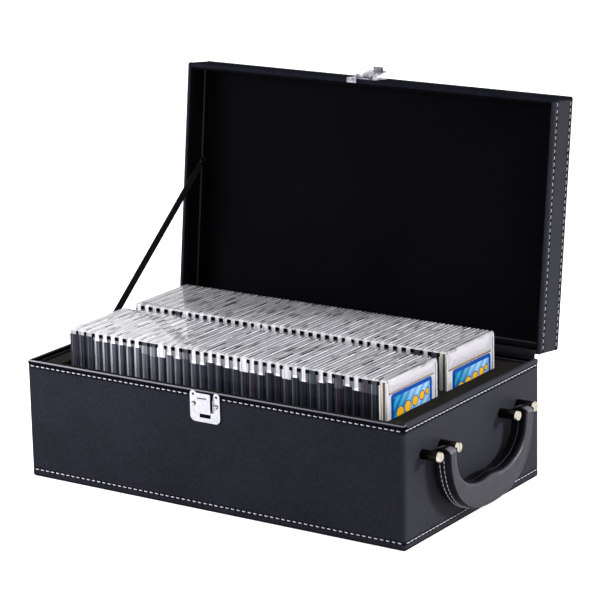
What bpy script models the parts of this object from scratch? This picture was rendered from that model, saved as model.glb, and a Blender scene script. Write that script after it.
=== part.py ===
"""Graded card storage case: a leatherette box with its lid standing open on two barrel hinges.

The case is drawn closed and latched. Each moving body then turns about its own pivot to the pose
of the photograph: the lid open, the hasp lever thrown back and the handle hanging.
X runs along the length to the handle end, Y from the front to the back, and Z up from the underside.
"""

import math

import bmesh
import bpy
from mathutils import Matrix, Vector

MM = 0.001

# Case, whose length and depth follow from its slabs, and how far its parts are turned
BASE_HEIGHT = 110 * MM
LID_HEIGHT = 34.4 * MM
RIM_GAP = 1.1 * MM
LID_OPEN_ANGLE = math.radians(96.8)
LEVER_OPEN_ANGLE = math.radians(168)

# Layers of a wall, from the outside in
LEATHER = 0.7 * MM
GAP = 0.3 * MM
BOARD = 2.2 * MM
CORNER_RADIUS = 1.6 * MM
BOARD_CHAMFER = 0.5 * MM
BASE_HEM = 14 * MM
LID_HEM = 12 * MM
LID_LINING = 1.0 * MM
LID_LINING_DROP = 1.5 * MM

# Padding inside the base
FELT = 0.8 * MM
COLLAR = 3.2 * MM
COLLAR_DROP = 1.5 * MM
FOAM_DROP = 3.7 * MM
FOAM_FRONT = 9.0 * MM
FOAM_RIB = 14.4 * MM
FOAM_BACK = 23.0 * MM
FOAM_END = 18.723 * MM
WELL_CLEARANCE = 0.4 * MM
WELL_END_CLEARANCE = 0.7 * MM

# Card slabs, one standard holder
SLAB_WIDTH = 83 * MM
SLAB_HEIGHT = 136 * MM
SLAB_THICKNESS = 6.4 * MM
SLAB_CORNER = 3 * MM
SLAB_SPACE = 2.486 * MM
SLABS_IN_A_ROW = 38
SPARE_PLACES = 1
SLAB_TIE = 1.5 * MM
CARD_WIDTH = 63.5 * MM
CARD_HEIGHT = 88.9 * MM
CARD_THICKNESS = 0.8 * MM
CARD_TOP = 15 * MM
LABEL_SIDE = 6.5 * MM
LABEL_HEIGHT = 9 * MM
LABEL_TOP = 4 * MM
WINDOW_DEPTH = 1.6 * MM

# Barrel hinges on the back
HINGE_FROM_END = 75 * MM
HINGE_WIDTH = 40 * MM
HINGE_AXIS_OUT = 2.4 * MM
HINGE_BARREL_RADIUS = 2.1 * MM
HINGE_LEAF = 0.8 * MM
HINGE_LEAF_HEIGHT = 20 * MM
HINGE_PIN_RADIUS = 0.9 * MM
HINGE_PIN_HEAD = 0.8 * MM
KNUCKLE_GAP = 0.4 * MM
PIN_CLEARANCE = 0.1 * MM
LEAF_RIVET_RADIUS = 2.0 * MM
LEAF_RIVET_RISE = 0.5 * MM

# Latch plate on the base, with the tongue pressed out of it
LATCH_X = -2 * MM
LATCH_WIDTH = 31.7 * MM
LATCH_HEIGHT = 28 * MM
LATCH_SHEET = 0.8 * MM
LATCH_CORNER = 5 * MM
EAR_WIDTH = 7 * MM
EAR_DROP = 5 * MM
EAR_HOLE_RADIUS = 1.2 * MM
TONGUE_WIDTH = 15 * MM
TONGUE_RISE = 2.8 * MM
TONGUE_TOP = 2.2 * MM
TONGUE_BOTTOM = 19.4 * MM
SLOT_WIDTH = 11.7 * MM
SLOT_HEIGHT = 4.2 * MM
SLOT_TOP = 19.8 * MM
RIVET_SPACING = 23.7 * MM
RIVET_DROP = 12 * MM
RIVET_HEAD_RADIUS = 2.2 * MM
RIVET_HEAD_RISE = 1.1 * MM
RIVET_SHANK_RADIUS = 1.2 * MM
RIVET_HOLE_RADIUS = 1.4 * MM

# Hasp on the lid and its lever
HASP_SHEET = 0.6 * MM
HASP_HEIGHT = 22 * MM
HASP_TAB_WIDTH = 10.5 * MM
HASP_TAB_REACH = 3.6 * MM
HASP_TAB_OFFSET = 11 * MM
HASP_RIVET_SPACING = 22 * MM
HASP_RIVET_RISE = 14 * MM
HASP_PIN_UP = 3.4 * MM
HASP_PIN_RADIUS = 0.8 * MM
HASP_KNUCKLE_RADIUS = 1.8 * MM
HASP_KNUCKLE_SPAN = 18 * MM
LEVER_NECK = 8.4 * MM
LEVER_WIDTH = 18 * MM
LEVER_SHEET = 0.8 * MM
LIP_WIDTH = 10.4 * MM
THUMB_TAB = 5 * MM
THUMB_FLARE = 2.4 * MM

# Handle posts and their screws on the right end
HANDLE_Y = -4.2 * MM
HANDLE_BELOW_RIM = 32 * MM
HANDLE_PAIR_SPACING = 132.6 * MM
POST_SPACING = 30.6 * MM
POST_RADIUS = 4.5 * MM
POST_LENGTH = 16 * MM
POST_BORE_RADIUS = 1.8 * MM
SCREW_SHANK_RADIUS = 1.5 * MM
SCREW_HEAD_RADIUS = 4.7 * MM
SCREW_HEAD = 2.0 * MM
SCREW_SLOT = 1.0 * MM
SCREW_SLOT_DEPTH = 0.7 * MM
NUT_RADIUS = 5 * MM
NUT_THICKNESS = 0.7 * MM
CROSS_PIN_RADIUS = 1.5 * MM
CROSS_PIN_SEAT = 2.0 * MM
CROSS_PIN_DROP = 2.0 * MM

# Handle: a padded U, narrow at its legs' tops and deep at the grip, with a steel core
HANDLE_OUT = 11.3 * MM
HANDLE_THICKNESS = 18 * MM
HANDLE_END_WIDTH = 12.4 * MM
HANDLE_END_GAP = 1.1 * MM
HANDLE_TOP = 4.6 * MM
HANDLE_END_ROUND = 5.5 * MM
HANDLE_EDGE = 2.4 * MM
HANDLE_DEPTH = 68.5 * MM
GRIP_DEPTH = 43.5 * MM
HANDLE_CURVE = 2.4
GRIP_CURVE = 2.8
GRIP_SWELL = 2.3 * MM
GRIP_SWELL_LENGTH = 44 * MM
CORE_WIDTH = 4 * MM
CORE_THICKNESS = 9 * MM
CORE_TOP = 3.4 * MM

# Stay strap on the left
STRAP_WIDTH = 10 * MM
STRAP_THICKNESS = 0.8 * MM
STRAP_LID_FROM_HINGE = 133 * MM
STRAP_LID_FROM_RIM = 20.5 * MM
STRAP_BASE_Y = -9 * MM
STRAP_TUCK = 14 * MM
STRAP_END = 6 * MM
TACK_HEAD_RADIUS = 3 * MM
TACK_HEAD = 1.0 * MM
TACK_SHANK_RADIUS = 1.0 * MM
POCKET_MARGIN = 4 * MM

# Facets and the overrun of a cut
ROUND_SIDES = 24
SMALL_SIDES = 16
BEND_STEPS = 6
OVERRUN = 2 * MM

# Sizes that follow from the ones above
WALL = LEATHER + GAP + BOARD + GAP + LEATHER
BOARD_INSET = LEATHER + GAP
BOARD_BACK = BOARD_INSET + BOARD
COLLAR_INSET = WALL + GAP
FOAM_INSET = COLLAR_INSET + COLLAR + GAP
FLOOR_BOARD_TOP = BOARD_INSET + BOARD
FELT_BOTTOM = FLOOR_BOARD_TOP + GAP
FLOOR = FELT_BOTTOM + FELT + GAP
LID_RIM = BASE_HEIGHT + RIM_GAP
CASE_TOP = LID_RIM + LID_HEIGHT
LID_CEILING = CASE_TOP - BOARD_BACK - GAP
SLAB_PITCH = SLAB_THICKNESS + SLAB_SPACE
WELL_WIDTH = SLAB_WIDTH + 2 * WELL_CLEARANCE
WELL_LENGTH = (SLABS_IN_A_ROW + SPARE_PLACES) * SLAB_PITCH
CASE_LENGTH = WELL_LENGTH + 2 * (FOAM_END + FOAM_INSET)
CASE_DEPTH = FOAM_FRONT + FOAM_RIB + FOAM_BACK + 2 * (WELL_WIDTH + FOAM_INSET)
LABEL_WIDTH = SLAB_WIDTH - 2 * LABEL_SIDE
HINGE_SPACING = CASE_LENGTH - 2 * HINGE_FROM_END
HANDLE_Z = BASE_HEIGHT - HANDLE_BELOW_RIM
CROSS_PIN_Z = HANDLE_Z - CROSS_PIN_DROP
# The handle has slid back along its pins until it all but touches the posts
HANDLE_SLIDE = POST_SPACING / 2 - POST_RADIUS - HANDLE_END_WIDTH / 2 - HANDLE_END_GAP
CORE_CURVE = (HANDLE_CURVE + GRIP_CURVE) / 2
CORE_DEPTH = (HANDLE_DEPTH + GRIP_DEPTH) / 2 + CORE_TOP - HANDLE_TOP
HALF_LENGTH = CASE_LENGTH / 2
HALF_DEPTH = CASE_DEPTH / 2
FRONT = -HALF_DEPTH

COLLECTION = bpy.data.collections.new("graded_card_case")
CUTTERS = bpy.data.collections.new("cutters")
HOMES = {}


def start_scene():
    """Clears the scene and links the collection of the case and that of its cutters."""
    for obj in list(bpy.data.objects):
        bpy.data.objects.remove(obj)
    bpy.context.scene.collection.children.link(COLLECTION)
    bpy.context.scene.collection.children.link(CUTTERS)


def principled(name, colour, roughness, metallic=0.0):
    """A material with one colour, roughness and metallic value."""
    made = bpy.data.materials.new(name)
    made.use_nodes = True
    shader = made.node_tree.nodes["Principled BSDF"]
    shader.inputs["Base Color"].default_value = (*colour, 1.0)
    shader.inputs["Roughness"].default_value = roughness
    shader.inputs["Metallic"].default_value = metallic
    made.diffuse_color = (*colour, 1.0)
    return made


def pivot(name, home, turn, body=None):
    """An empty on a joint's axis along X, whose pieces are placed from the closed case."""
    empty = bpy.data.objects.new(name, None)
    empty.empty_display_size = POST_LENGTH
    COLLECTION.objects.link(empty)
    empty.parent = body
    empty.location = home - home_of(body)
    empty.rotation_euler = (turn, 0, 0)
    HOMES[name] = home
    return empty


def home_of(body):
    """The point of the closed case that a body's pieces are placed from."""
    return HOMES[body.name] if body else Vector((0, 0, 0))


def finish(name, bm, centre, look, body=None, turn=None):
    """Makes a mesh an object at its place in the closed case, smooth but for its sharp edges."""
    mesh = bpy.data.meshes.new(name)
    bmesh.ops.recalc_face_normals(bm, faces=bm.faces)
    bm.to_mesh(mesh)
    bm.free()
    mesh.shade_smooth()
    mesh.set_sharp_from_angle(angle=math.radians(35))
    return set_down(bpy.data.objects.new(name, mesh), centre, look, body, turn)


def set_down(obj, centre, look, body=None, turn=None):
    """Links an object, gives it its look and places it; one without a look is a cutter."""
    if look:
        COLLECTION.objects.link(obj)
        obj.data.materials.append(look)
    else:
        CUTTERS.objects.link(obj)
        obj.hide_render = True
        obj.display_type = "WIRE"
    obj.parent = body
    obj.location = Vector(centre) - home_of(body)
    if turn:
        obj.rotation_euler = turn.to_euler()
    return obj


def block(name, low, high, look=None, body=None, chamfer=0, corner=0):
    """A box between two corners of the closed case, with all its edges or its uprights broken."""
    low = Vector(low)
    high = Vector(high)
    bm = bmesh.new()
    bmesh.ops.create_cube(bm, size=1)
    bmesh.ops.scale(bm, vec=high - low, verts=bm.verts)
    if corner:
        uprights = [e for e in bm.edges if e.verts[0].co.xy == e.verts[1].co.xy]
        bmesh.ops.bevel(bm, geom=uprights, offset=corner, segments=2, profile=0.5, affect="EDGES")
    obj = finish(name, bm, (low + high) / 2, look, body)
    if chamfer:
        bevel = obj.modifiers.new("Broken edges", "BEVEL")
        bevel.width = chamfer
        bevel.segments = 1
        bevel.limit_method = "ANGLE"
    return obj


def rod(name, start, end, radius, look=None, body=None, sides=ROUND_SIDES, end_radius=None):
    """A round bar or a cone from one point of the closed case to another."""
    start = Vector(start)
    end = Vector(end)
    bm = bmesh.new()
    bmesh.ops.create_cone(
        bm,
        cap_ends=True,
        segments=sides,
        radius1=radius,
        radius2=radius if end_radius is None else end_radius,
        depth=(end - start).length,
    )
    turn = (end - start).to_track_quat("Z", "Y")
    return finish(name, bm, (start + end) / 2, look, body, turn)


def sheet_box(name, low, high, open_faces, thickness, look, radius, body=None, hem=None):
    """A box of thin sheet, open at the top or bottom, its rim turned over the wall as a hem."""
    low = Vector(low)
    high = Vector(high)
    bm = bmesh.new()
    bmesh.ops.create_cube(bm, size=1)
    bmesh.ops.scale(bm, vec=high - low, verts=bm.verts)
    removed = [f for f in bm.faces if round(f.normal.z) in open_faces]
    bmesh.ops.delete(bm, geom=removed, context="FACES_ONLY")
    if hem:
        side, width, depth = hem
        rim = [e for e in bm.edges if e.is_boundary and e.verts[0].co.z * side > 0]
        turned = bmesh.ops.extrude_edge_only(bm, edges=rim)["geom"]
        for vert in (v for v in turned if isinstance(v, bmesh.types.BMVert)):
            vert.co.x -= math.copysign(width, vert.co.x)
            vert.co.y -= math.copysign(width, vert.co.y)
        edges = [e for e in turned if isinstance(e, bmesh.types.BMEdge)]
        folded = bmesh.ops.extrude_edge_only(bm, edges=edges)["geom"]
        for vert in (v for v in folded if isinstance(v, bmesh.types.BMVert)):
            vert.co.z -= side * depth
    mesh = bpy.data.meshes.new(name)
    bm.to_mesh(mesh)
    bm.free()
    mesh.shade_smooth()
    mesh.set_sharp_from_angle(angle=math.radians(35))
    obj = set_down(bpy.data.objects.new(name, mesh), (low + high) / 2, look, body)
    bevel = obj.modifiers.new("Rounded corners", "BEVEL")
    bevel.width = radius
    bevel.segments = 3
    bevel.limit_method = "ANGLE"
    shell = obj.modifiers.new("Sheet", "SOLIDIFY")
    shell.thickness = thickness
    shell.offset = -1
    shell.use_even_offset = True
    return obj


def flat_plate(name, outline, thickness, plane, centre, look=None, body=None):
    """A flat outline given a thickness, standing in the XZ plane or in the YZ plane."""
    curve = bpy.data.curves.new(name, "CURVE")
    curve.dimensions = "2D"
    curve.fill_mode = "BOTH"
    curve.extrude = thickness / 2
    spline = curve.splines.new("POLY")
    spline.points.add(len(outline) - 1)
    for point, (a, b) in zip(spline.points, outline):
        point.co = (a, b, 0, 1)
    spline.use_cyclic_u = True
    drawn = bpy.data.objects.new(name + "_outline", curve)
    COLLECTION.objects.link(drawn)
    seen = drawn.evaluated_get(bpy.context.evaluated_depsgraph_get())
    mesh = bpy.data.meshes.new_from_object(seen)
    bpy.data.objects.remove(drawn)
    bm = bmesh.new()
    bm.from_mesh(mesh)
    bpy.data.meshes.remove(mesh)
    bmesh.ops.remove_doubles(bm, verts=bm.verts, dist=GAP / 1000)
    bmesh.ops.dissolve_limit(bm, angle_limit=math.radians(0.1), verts=bm.verts, edges=bm.edges)
    bmesh.ops.recalc_face_normals(bm, faces=bm.faces)
    if plane == "XZ":
        axes = Matrix(((1, 0, 0), (0, 0, -1), (0, 1, 0)))
    else:
        axes = Matrix(((0, 0, 1), (1, 0, 0), (0, 1, 0)))
    bmesh.ops.transform(bm, matrix=axes.to_4x4(), verts=bm.verts)
    return finish(name, bm, centre, look, body)


def combine(obj, other, operation):
    """Cuts one solid from another, joins it on or keeps what the two share."""
    step = obj.modifiers.new(other.name, "BOOLEAN")
    step.operation = operation
    step.solver = "EXACT"
    step.object = other
    return obj


def cut(obj, *others):
    """Takes cutters out of a solid."""
    for other in others:
        combine(obj, other, "DIFFERENCE")
    return obj


def join(obj, *others):
    """Joins further shapes onto a solid."""
    for other in others:
        combine(obj, other, "UNION")
    return obj


def arc(centre, radius, start, end, steps):
    """Points of an arc, with its angles in degrees."""
    points = []
    for i in range(steps + 1):
        angle = math.radians(start + (end - start) * i / steps)
        points.append((centre[0] + radius * math.cos(angle), centre[1] + radius * math.sin(angle)))
    return points


def bent_strip(path, thickness):
    """Outline of a bent sheet: one face follows the path, the other lies one thickness to its left."""
    normals = []
    for (ax, ay), (bx, by) in zip(path, path[1:]):
        length = math.hypot(bx - ax, by - ay)
        normals.append((-(by - ay) / length, (bx - ax) / length))
    offset = []
    for i, (x, y) in enumerate(path):
        before = normals[max(i - 1, 0)]
        after = normals[min(i, len(normals) - 1)]
        mid = (before[0] + after[0], before[1] + after[1])
        reach = thickness * 2 / (mid[0] ** 2 + mid[1] ** 2)
        offset.append((x + mid[0] * reach, y + mid[1] * reach))
    return list(path) + offset[::-1]


def turned_about_hinge(y, z):
    """Where a point of the closed lid's YZ plane stands when the lid is open."""
    dy = y - HINGE_Y
    dz = z - HINGE_Z
    cos = math.cos(-LID_OPEN_ANGLE)
    sin = math.sin(-LID_OPEN_ANGLE)
    return HINGE_Y + dy * cos - dz * sin, HINGE_Z + dy * sin + dz * cos


start_scene()

LEATHER_LOOK = principled("black_leatherette", (0.035, 0.035, 0.045), 0.55)
BOARD_LOOK = principled("grey_board", (0.30, 0.26, 0.21), 0.9)
FELT_LOOK = principled("black_felt", (0.010, 0.010, 0.011), 0.95)
LINING_LOOK = principled("black_lining", (0.008, 0.008, 0.010), 0.9)
FOAM_LOOK = principled("black_foam", (0.012, 0.012, 0.013), 0.95)
SLAB_LOOK = principled("clear_acrylic", (0.62, 0.64, 0.66), 0.15)
CARD_LOOK = principled("printed_card", (0.03, 0.22, 0.55), 0.4)
LABEL_LOOK = principled("paper_label", (0.75, 0.76, 0.78), 0.6)
NICKEL_LOOK = principled("nickel_plate", (0.80, 0.80, 0.82), 0.2, 1.0)
BRONZE_LOOK = principled("dark_bronze", (0.10, 0.085, 0.07), 0.3, 1.0)
STEEL_LOOK = principled("zinc_steel", (0.45, 0.45, 0.46), 0.4, 1.0)
WEBBING_LOOK = principled("black_webbing", (0.012, 0.012, 0.013), 0.85)

# The lid turns about the axis of its two barrel hinges
HINGE_Y = HALF_DEPTH + HINGE_AXIS_OUT
HINGE_Z = BASE_HEIGHT + RIM_GAP / 2
lid = pivot("lid_pivot", Vector((0, HINGE_Y, HINGE_Z)), -LID_OPEN_ANGLE)

# The hasp lever turns about the pin in front of the lid
HASP_PIN_Y = FRONT - GAP - HASP_SHEET - HASP_KNUCKLE_RADIUS - GAP
HASP_PIN_Z = LID_RIM + HASP_PIN_UP
lever_body = pivot(
    "lever_pivot", Vector((LATCH_X, HASP_PIN_Y, HASP_PIN_Z)), -LEVER_OPEN_ANGLE, lid
)

# The handle turns about its two cross pins, along Y
HANDLE_X = HALF_LENGTH + HANDLE_OUT
handle_body = pivot("handle_pivot", Vector((HANDLE_X, HANDLE_Y + HANDLE_SLIDE, CROSS_PIN_Z)), 0)


# Bottom sheet: the leatherette glued under the case
bottom_inset_x = HALF_LENGTH - BOARD_INSET
bottom_inset_y = HALF_DEPTH - BOARD_INSET
block(
    "bottom_sheet",
    (-bottom_inset_x, -bottom_inset_y, 0),
    (bottom_inset_x, bottom_inset_y, LEATHER),
    LEATHER_LOOK,
    corner=CORNER_RADIUS - LEATHER,
)

# Boards of the base: a floor with four walls standing on it
block(
    "floor_board",
    (-bottom_inset_x, -bottom_inset_y, BOARD_INSET),
    (bottom_inset_x, bottom_inset_y, FLOOR_BOARD_TOP),
    BOARD_LOOK,
    chamfer=BOARD_CHAMFER,
)
wall_bottom = FLOOR_BOARD_TOP + GAP
wall_top = BASE_HEIGHT - BOARD_INSET
end_board_y = HALF_DEPTH - BOARD_BACK - GAP
front_board = block(
    "front_board",
    (-bottom_inset_x, -bottom_inset_y, wall_bottom),
    (bottom_inset_x, -bottom_inset_y + BOARD, wall_top),
    BOARD_LOOK,
    chamfer=BOARD_CHAMFER,
)
block(
    "back_board",
    (-bottom_inset_x, bottom_inset_y - BOARD, wall_bottom),
    (bottom_inset_x, bottom_inset_y, wall_top),
    BOARD_LOOK,
    chamfer=BOARD_CHAMFER,
)
block(
    "left_board",
    (-bottom_inset_x, -end_board_y, wall_bottom),
    (-bottom_inset_x + BOARD, end_board_y, wall_top),
    BOARD_LOOK,
    chamfer=BOARD_CHAMFER,
)
right_board = block(
    "right_board",
    (bottom_inset_x - BOARD, -end_board_y, wall_bottom),
    (bottom_inset_x, end_board_y, wall_top),
    BOARD_LOOK,
    chamfer=BOARD_CHAMFER,
)

# Base wrap: leatherette round the four walls, turned over the rim and down inside
base_wrap = sheet_box(
    "base_wrap",
    (-HALF_LENGTH, -HALF_DEPTH, 0),
    (HALF_LENGTH, HALF_DEPTH, BASE_HEIGHT),
    (1, -1),
    LEATHER,
    LEATHER_LOOK,
    CORNER_RADIUS,
    hem=(1, WALL, BASE_HEM),
)

# Floor felt: a sheet that the slabs stand on
felt_inset = BOARD_BACK + GAP
block(
    "floor_felt",
    (-HALF_LENGTH + felt_inset, -HALF_DEPTH + felt_inset, FELT_BOTTOM),
    (HALF_LENGTH - felt_inset, HALF_DEPTH - felt_inset, FELT_BOTTOM + FELT),
    FELT_LOOK,
)

# Lining collar: felt-covered card round the inside of the walls, just under the rim
lining_collar = sheet_box(
    "lining_collar",
    (-HALF_LENGTH + COLLAR_INSET, -HALF_DEPTH + COLLAR_INSET, FLOOR),
    (HALF_LENGTH - COLLAR_INSET, HALF_DEPTH - COLLAR_INSET, BASE_HEIGHT - COLLAR_DROP),
    (1, -1),
    COLLAR,
    FELT_LOOK,
    COLLAR + GAP,
)

# Foam insert: one block with a well for each row of slabs
foam_top = BASE_HEIGHT - FOAM_DROP
foam_insert = block(
    "foam_insert",
    (-HALF_LENGTH + FOAM_INSET, -HALF_DEPTH + FOAM_INSET, FLOOR),
    (HALF_LENGTH - FOAM_INSET, HALF_DEPTH - FOAM_INSET, foam_top),
    FOAM_LOOK,
)
front_well_y = -HALF_DEPTH + FOAM_INSET + FOAM_FRONT + WELL_WIDTH / 2
back_well_y = front_well_y + WELL_WIDTH + FOAM_RIB
for row, well_y in (("front", front_well_y), ("back", back_well_y)):
    well = block(
        "cut_well_" + row,
        (-WELL_LENGTH / 2, well_y - WELL_WIDTH / 2, FLOOR - OVERRUN),
        (WELL_LENGTH / 2, well_y + WELL_WIDTH / 2, foam_top + OVERRUN),
    )
    cut(foam_insert, well)


def slab_row_outline():
    """A row of slabs seen from the front: every slab but the end one, on the tie under them."""
    end = WELL_LENGTH / 2 - WELL_END_CLEARANCE - SLAB_PITCH
    first = end - (SLABS_IN_A_ROW - 2) * SLAB_PITCH - SLAB_THICKNESS
    points = [(first, 0), (end, 0)]
    for i in range(SLABS_IN_A_ROW - 1):
        right = end - i * SLAB_PITCH
        left = right - SLAB_THICKNESS
        if i > 0:
            points.append((right, SLAB_TIE))
        points.append((right, SLAB_HEIGHT))
        points.append((left, SLAB_HEIGHT))
        if i < SLABS_IN_A_ROW - 2:
            points.append((left, SLAB_TIE))
    return points


def rounded_bar(name, y, x0, x1):
    """A long bar with a slab's outline, rounded at its two top corners."""
    half = SLAB_WIDTH / 2
    points = [(-half, 0), (half, 0)]
    points += arc((half - SLAB_CORNER, SLAB_HEIGHT - SLAB_CORNER), SLAB_CORNER, 0, 90, 3)
    points += arc((SLAB_CORNER - half, SLAB_HEIGHT - SLAB_CORNER), SLAB_CORNER, 90, 180, 3)
    return flat_plate(name, points, x1 - x0, "YZ", ((x0 + x1) / 2, y, FLOOR))


# Slabs: each row is one comb of slabs on a thin tie, with its last slab apart at the handle end
slab_end = WELL_LENGTH / 2 - WELL_END_CLEARANCE
for row, well_y in (("front", front_well_y), ("back", back_well_y)):
    comb = flat_plate(
        "slab_row_" + row, slab_row_outline(), SLAB_WIDTH, "XZ", (0, well_y, FLOOR), SLAB_LOOK
    )
    combine(comb, rounded_bar("keep_row_" + row, well_y, -slab_end, slab_end), "INTERSECT")
    slab = block(
        "end_slab_" + row,
        (slab_end - SLAB_THICKNESS, well_y - SLAB_WIDTH / 2, FLOOR),
        (slab_end, well_y + SLAB_WIDTH / 2, FLOOR + SLAB_HEIGHT),
        SLAB_LOOK,
    )
    combine(slab, rounded_bar("keep_slab_" + row, well_y, -slab_end, slab_end), "INTERSECT")
    slab_top = FLOOR + SLAB_HEIGHT
    card_top = slab_top - CARD_TOP
    card = block(
        "end_card_" + row,
        (slab_end - WINDOW_DEPTH + GAP, well_y - CARD_WIDTH / 2, card_top - CARD_HEIGHT),
        (slab_end - WINDOW_DEPTH + GAP + CARD_THICKNESS, well_y + CARD_WIDTH / 2, card_top),
        CARD_LOOK,
    )
    card_window = block(
        "cut_card_" + row,
        (slab_end - WINDOW_DEPTH, well_y - CARD_WIDTH / 2 - GAP, card_top - CARD_HEIGHT - GAP),
        (slab_end + OVERRUN, well_y + CARD_WIDTH / 2 + GAP, card_top + GAP),
    )
    label_top = slab_top - LABEL_TOP
    label = block(
        "end_label_" + row,
        (slab_end - WINDOW_DEPTH + GAP, well_y - LABEL_WIDTH / 2, label_top - LABEL_HEIGHT),
        (slab_end - WINDOW_DEPTH + GAP + CARD_THICKNESS, well_y + LABEL_WIDTH / 2, label_top),
        LABEL_LOOK,
    )
    label_window = block(
        "cut_label_" + row,
        (slab_end - WINDOW_DEPTH, well_y - LABEL_WIDTH / 2 - GAP, label_top - LABEL_HEIGHT - GAP),
        (slab_end + OVERRUN, well_y + LABEL_WIDTH / 2 + GAP, label_top + GAP),
    )
    cut(slab, card_window, label_window)

# Boards of the lid: a top with four walls under it
lid_wall_top = CASE_TOP - BOARD_BACK - GAP
lid_wall_bottom = LID_RIM + BOARD_INSET
block(
    "lid_top_board",
    (-bottom_inset_x, -bottom_inset_y, CASE_TOP - BOARD_BACK),
    (bottom_inset_x, bottom_inset_y, CASE_TOP - BOARD_INSET),
    BOARD_LOOK,
    lid,
    BOARD_CHAMFER,
)
lid_front_board = block(
    "lid_front_board",
    (-bottom_inset_x, -bottom_inset_y, lid_wall_bottom),
    (bottom_inset_x, -bottom_inset_y + BOARD, lid_wall_top),
    BOARD_LOOK,
    lid,
    BOARD_CHAMFER,
)
block(
    "lid_back_board",
    (-bottom_inset_x, bottom_inset_y - BOARD, lid_wall_bottom),
    (bottom_inset_x, bottom_inset_y, lid_wall_top),
    BOARD_LOOK,
    lid,
    BOARD_CHAMFER,
)
lid_left_board = block(
    "lid_left_board",
    (-bottom_inset_x, -end_board_y, lid_wall_bottom),
    (-bottom_inset_x + BOARD, end_board_y, lid_wall_top),
    BOARD_LOOK,
    lid,
    BOARD_CHAMFER,
)
block(
    "lid_right_board",
    (bottom_inset_x - BOARD, -end_board_y, lid_wall_bottom),
    (bottom_inset_x, end_board_y, lid_wall_top),
    BOARD_LOOK,
    lid,
    BOARD_CHAMFER,
)

# Lid wrap: leatherette over the top and the walls, turned round the rim and up inside
lid_wrap = sheet_box(
    "lid_wrap",
    (-HALF_LENGTH, -HALF_DEPTH, LID_RIM),
    (HALF_LENGTH, HALF_DEPTH, CASE_TOP),
    (-1,),
    LEATHER,
    LEATHER_LOOK,
    CORNER_RADIUS,
    lid,
    hem=(-1, WALL, LID_HEM),
)

# Lid lining: a shallow tray of black cloth on card under the lid's top
lid_lining = sheet_box(
    "lid_lining",
    (-HALF_LENGTH + COLLAR_INSET, -HALF_DEPTH + COLLAR_INSET, LID_RIM + LID_LINING_DROP),
    (HALF_LENGTH - COLLAR_INSET, HALF_DEPTH - COLLAR_INSET, LID_CEILING),
    (-1,),
    LID_LINING,
    LINING_LOOK,
    CORNER_RADIUS - GAP,
    lid,
)


def knuckle(name, x0, x1, body):
    """A round hinge knuckle about the lid's axis."""
    return rod(name, (x0, HINGE_Y, HINGE_Z), (x1, HINGE_Y, HINGE_Z), HINGE_BARREL_RADIUS, None, body)


def leaf(name, side, x, body):
    """One leaf of a barrel hinge, with its rivet heads and knuckles."""
    inner = HALF_DEPTH + GAP
    outer = inner + HINGE_LEAF
    half = HINGE_WIDTH / 2
    near = HINGE_Z
    far = HINGE_Z + side * HINGE_LEAF_HEIGHT
    relief = HINGE_BARREL_RADIUS + GAP
    plate = block(
        name,
        (x - half, inner, min(near, far)),
        (x + half, outer, max(near, far)),
        STEEL_LOOK,
        body,
    )
    shares = (-1, -0.6, -0.2, 0.2, 0.6, 1)
    own = (0, 2, 4) if side < 0 else (1, 3)
    for i in range(5):
        x0 = x + shares[i] * half
        x1 = x + shares[i + 1] * half
        if i in own:
            x0 += KNUCKLE_GAP / 2 if i > 0 else 0
            x1 -= KNUCKLE_GAP / 2 if i < 4 else 0
            join(plate, knuckle(f"{name}_knuckle_{i}", x0, x1, body))
        else:
            low = (x0 - KNUCKLE_GAP / 2, inner - OVERRUN, HINGE_Z - relief)
            high = (x1 + KNUCKLE_GAP / 2, HINGE_Y + relief, HINGE_Z + relief)
            cut(plate, block(f"{name}_relief_{i}", low, high, None, body))
    for i in (-1, 0, 1):
        rivet_x = x + i * half / 1.5
        rivet_z = HINGE_Z + side * HINGE_LEAF_HEIGHT / 1.6
        head = rod(
            f"{name}_rivet_{i + 1}",
            (rivet_x, inner + HINGE_LEAF / 2, rivet_z),
            (rivet_x, outer + LEAF_RIVET_RISE, rivet_z),
            LEAF_RIVET_RADIUS,
            None,
            body,
            SMALL_SIDES,
            LEAF_RIVET_RADIUS * 0.6,
        )
        join(plate, head)
    bore = rod(
        name + "_bore",
        (x - half - OVERRUN, HINGE_Y, HINGE_Z),
        (x + half + OVERRUN, HINGE_Y, HINGE_Z),
        HINGE_PIN_RADIUS + PIN_CLEARANCE,
        None,
        body,
        SMALL_SIDES,
    )
    return cut(plate, bore)


# Barrel hinges: two on the back, each with a leaf on the base, a leaf on the lid and a pin
for side_name, side in (("left", -1), ("right", 1)):
    hinge_x = side * HINGE_SPACING / 2
    leaf(f"hinge_{side_name}_base_leaf", -1, hinge_x, None)
    leaf(f"hinge_{side_name}_lid_leaf", 1, hinge_x, lid)
    pin_end = HINGE_WIDTH / 2 + GAP
    pin = rod(
        f"hinge_{side_name}_pin",
        (hinge_x - pin_end, HINGE_Y, HINGE_Z),
        (hinge_x + pin_end, HINGE_Y, HINGE_Z),
        HINGE_PIN_RADIUS,
        STEEL_LOOK,
        None,
        SMALL_SIDES,
    )
    for end in (-1, 1):
        start_x = hinge_x + end * (pin_end - HINGE_PIN_HEAD / 4)
        stop_x = hinge_x + end * (pin_end + HINGE_PIN_HEAD)
        head = rod(
            f"{pin.name}_head_{(end + 1) // 2}",
            (start_x, HINGE_Y, HINGE_Z),
            (stop_x, HINGE_Y, HINGE_Z),
            HINGE_PIN_RADIUS * 1.6,
            None,
            None,
            SMALL_SIDES,
        )
        join(pin, head)


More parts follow.
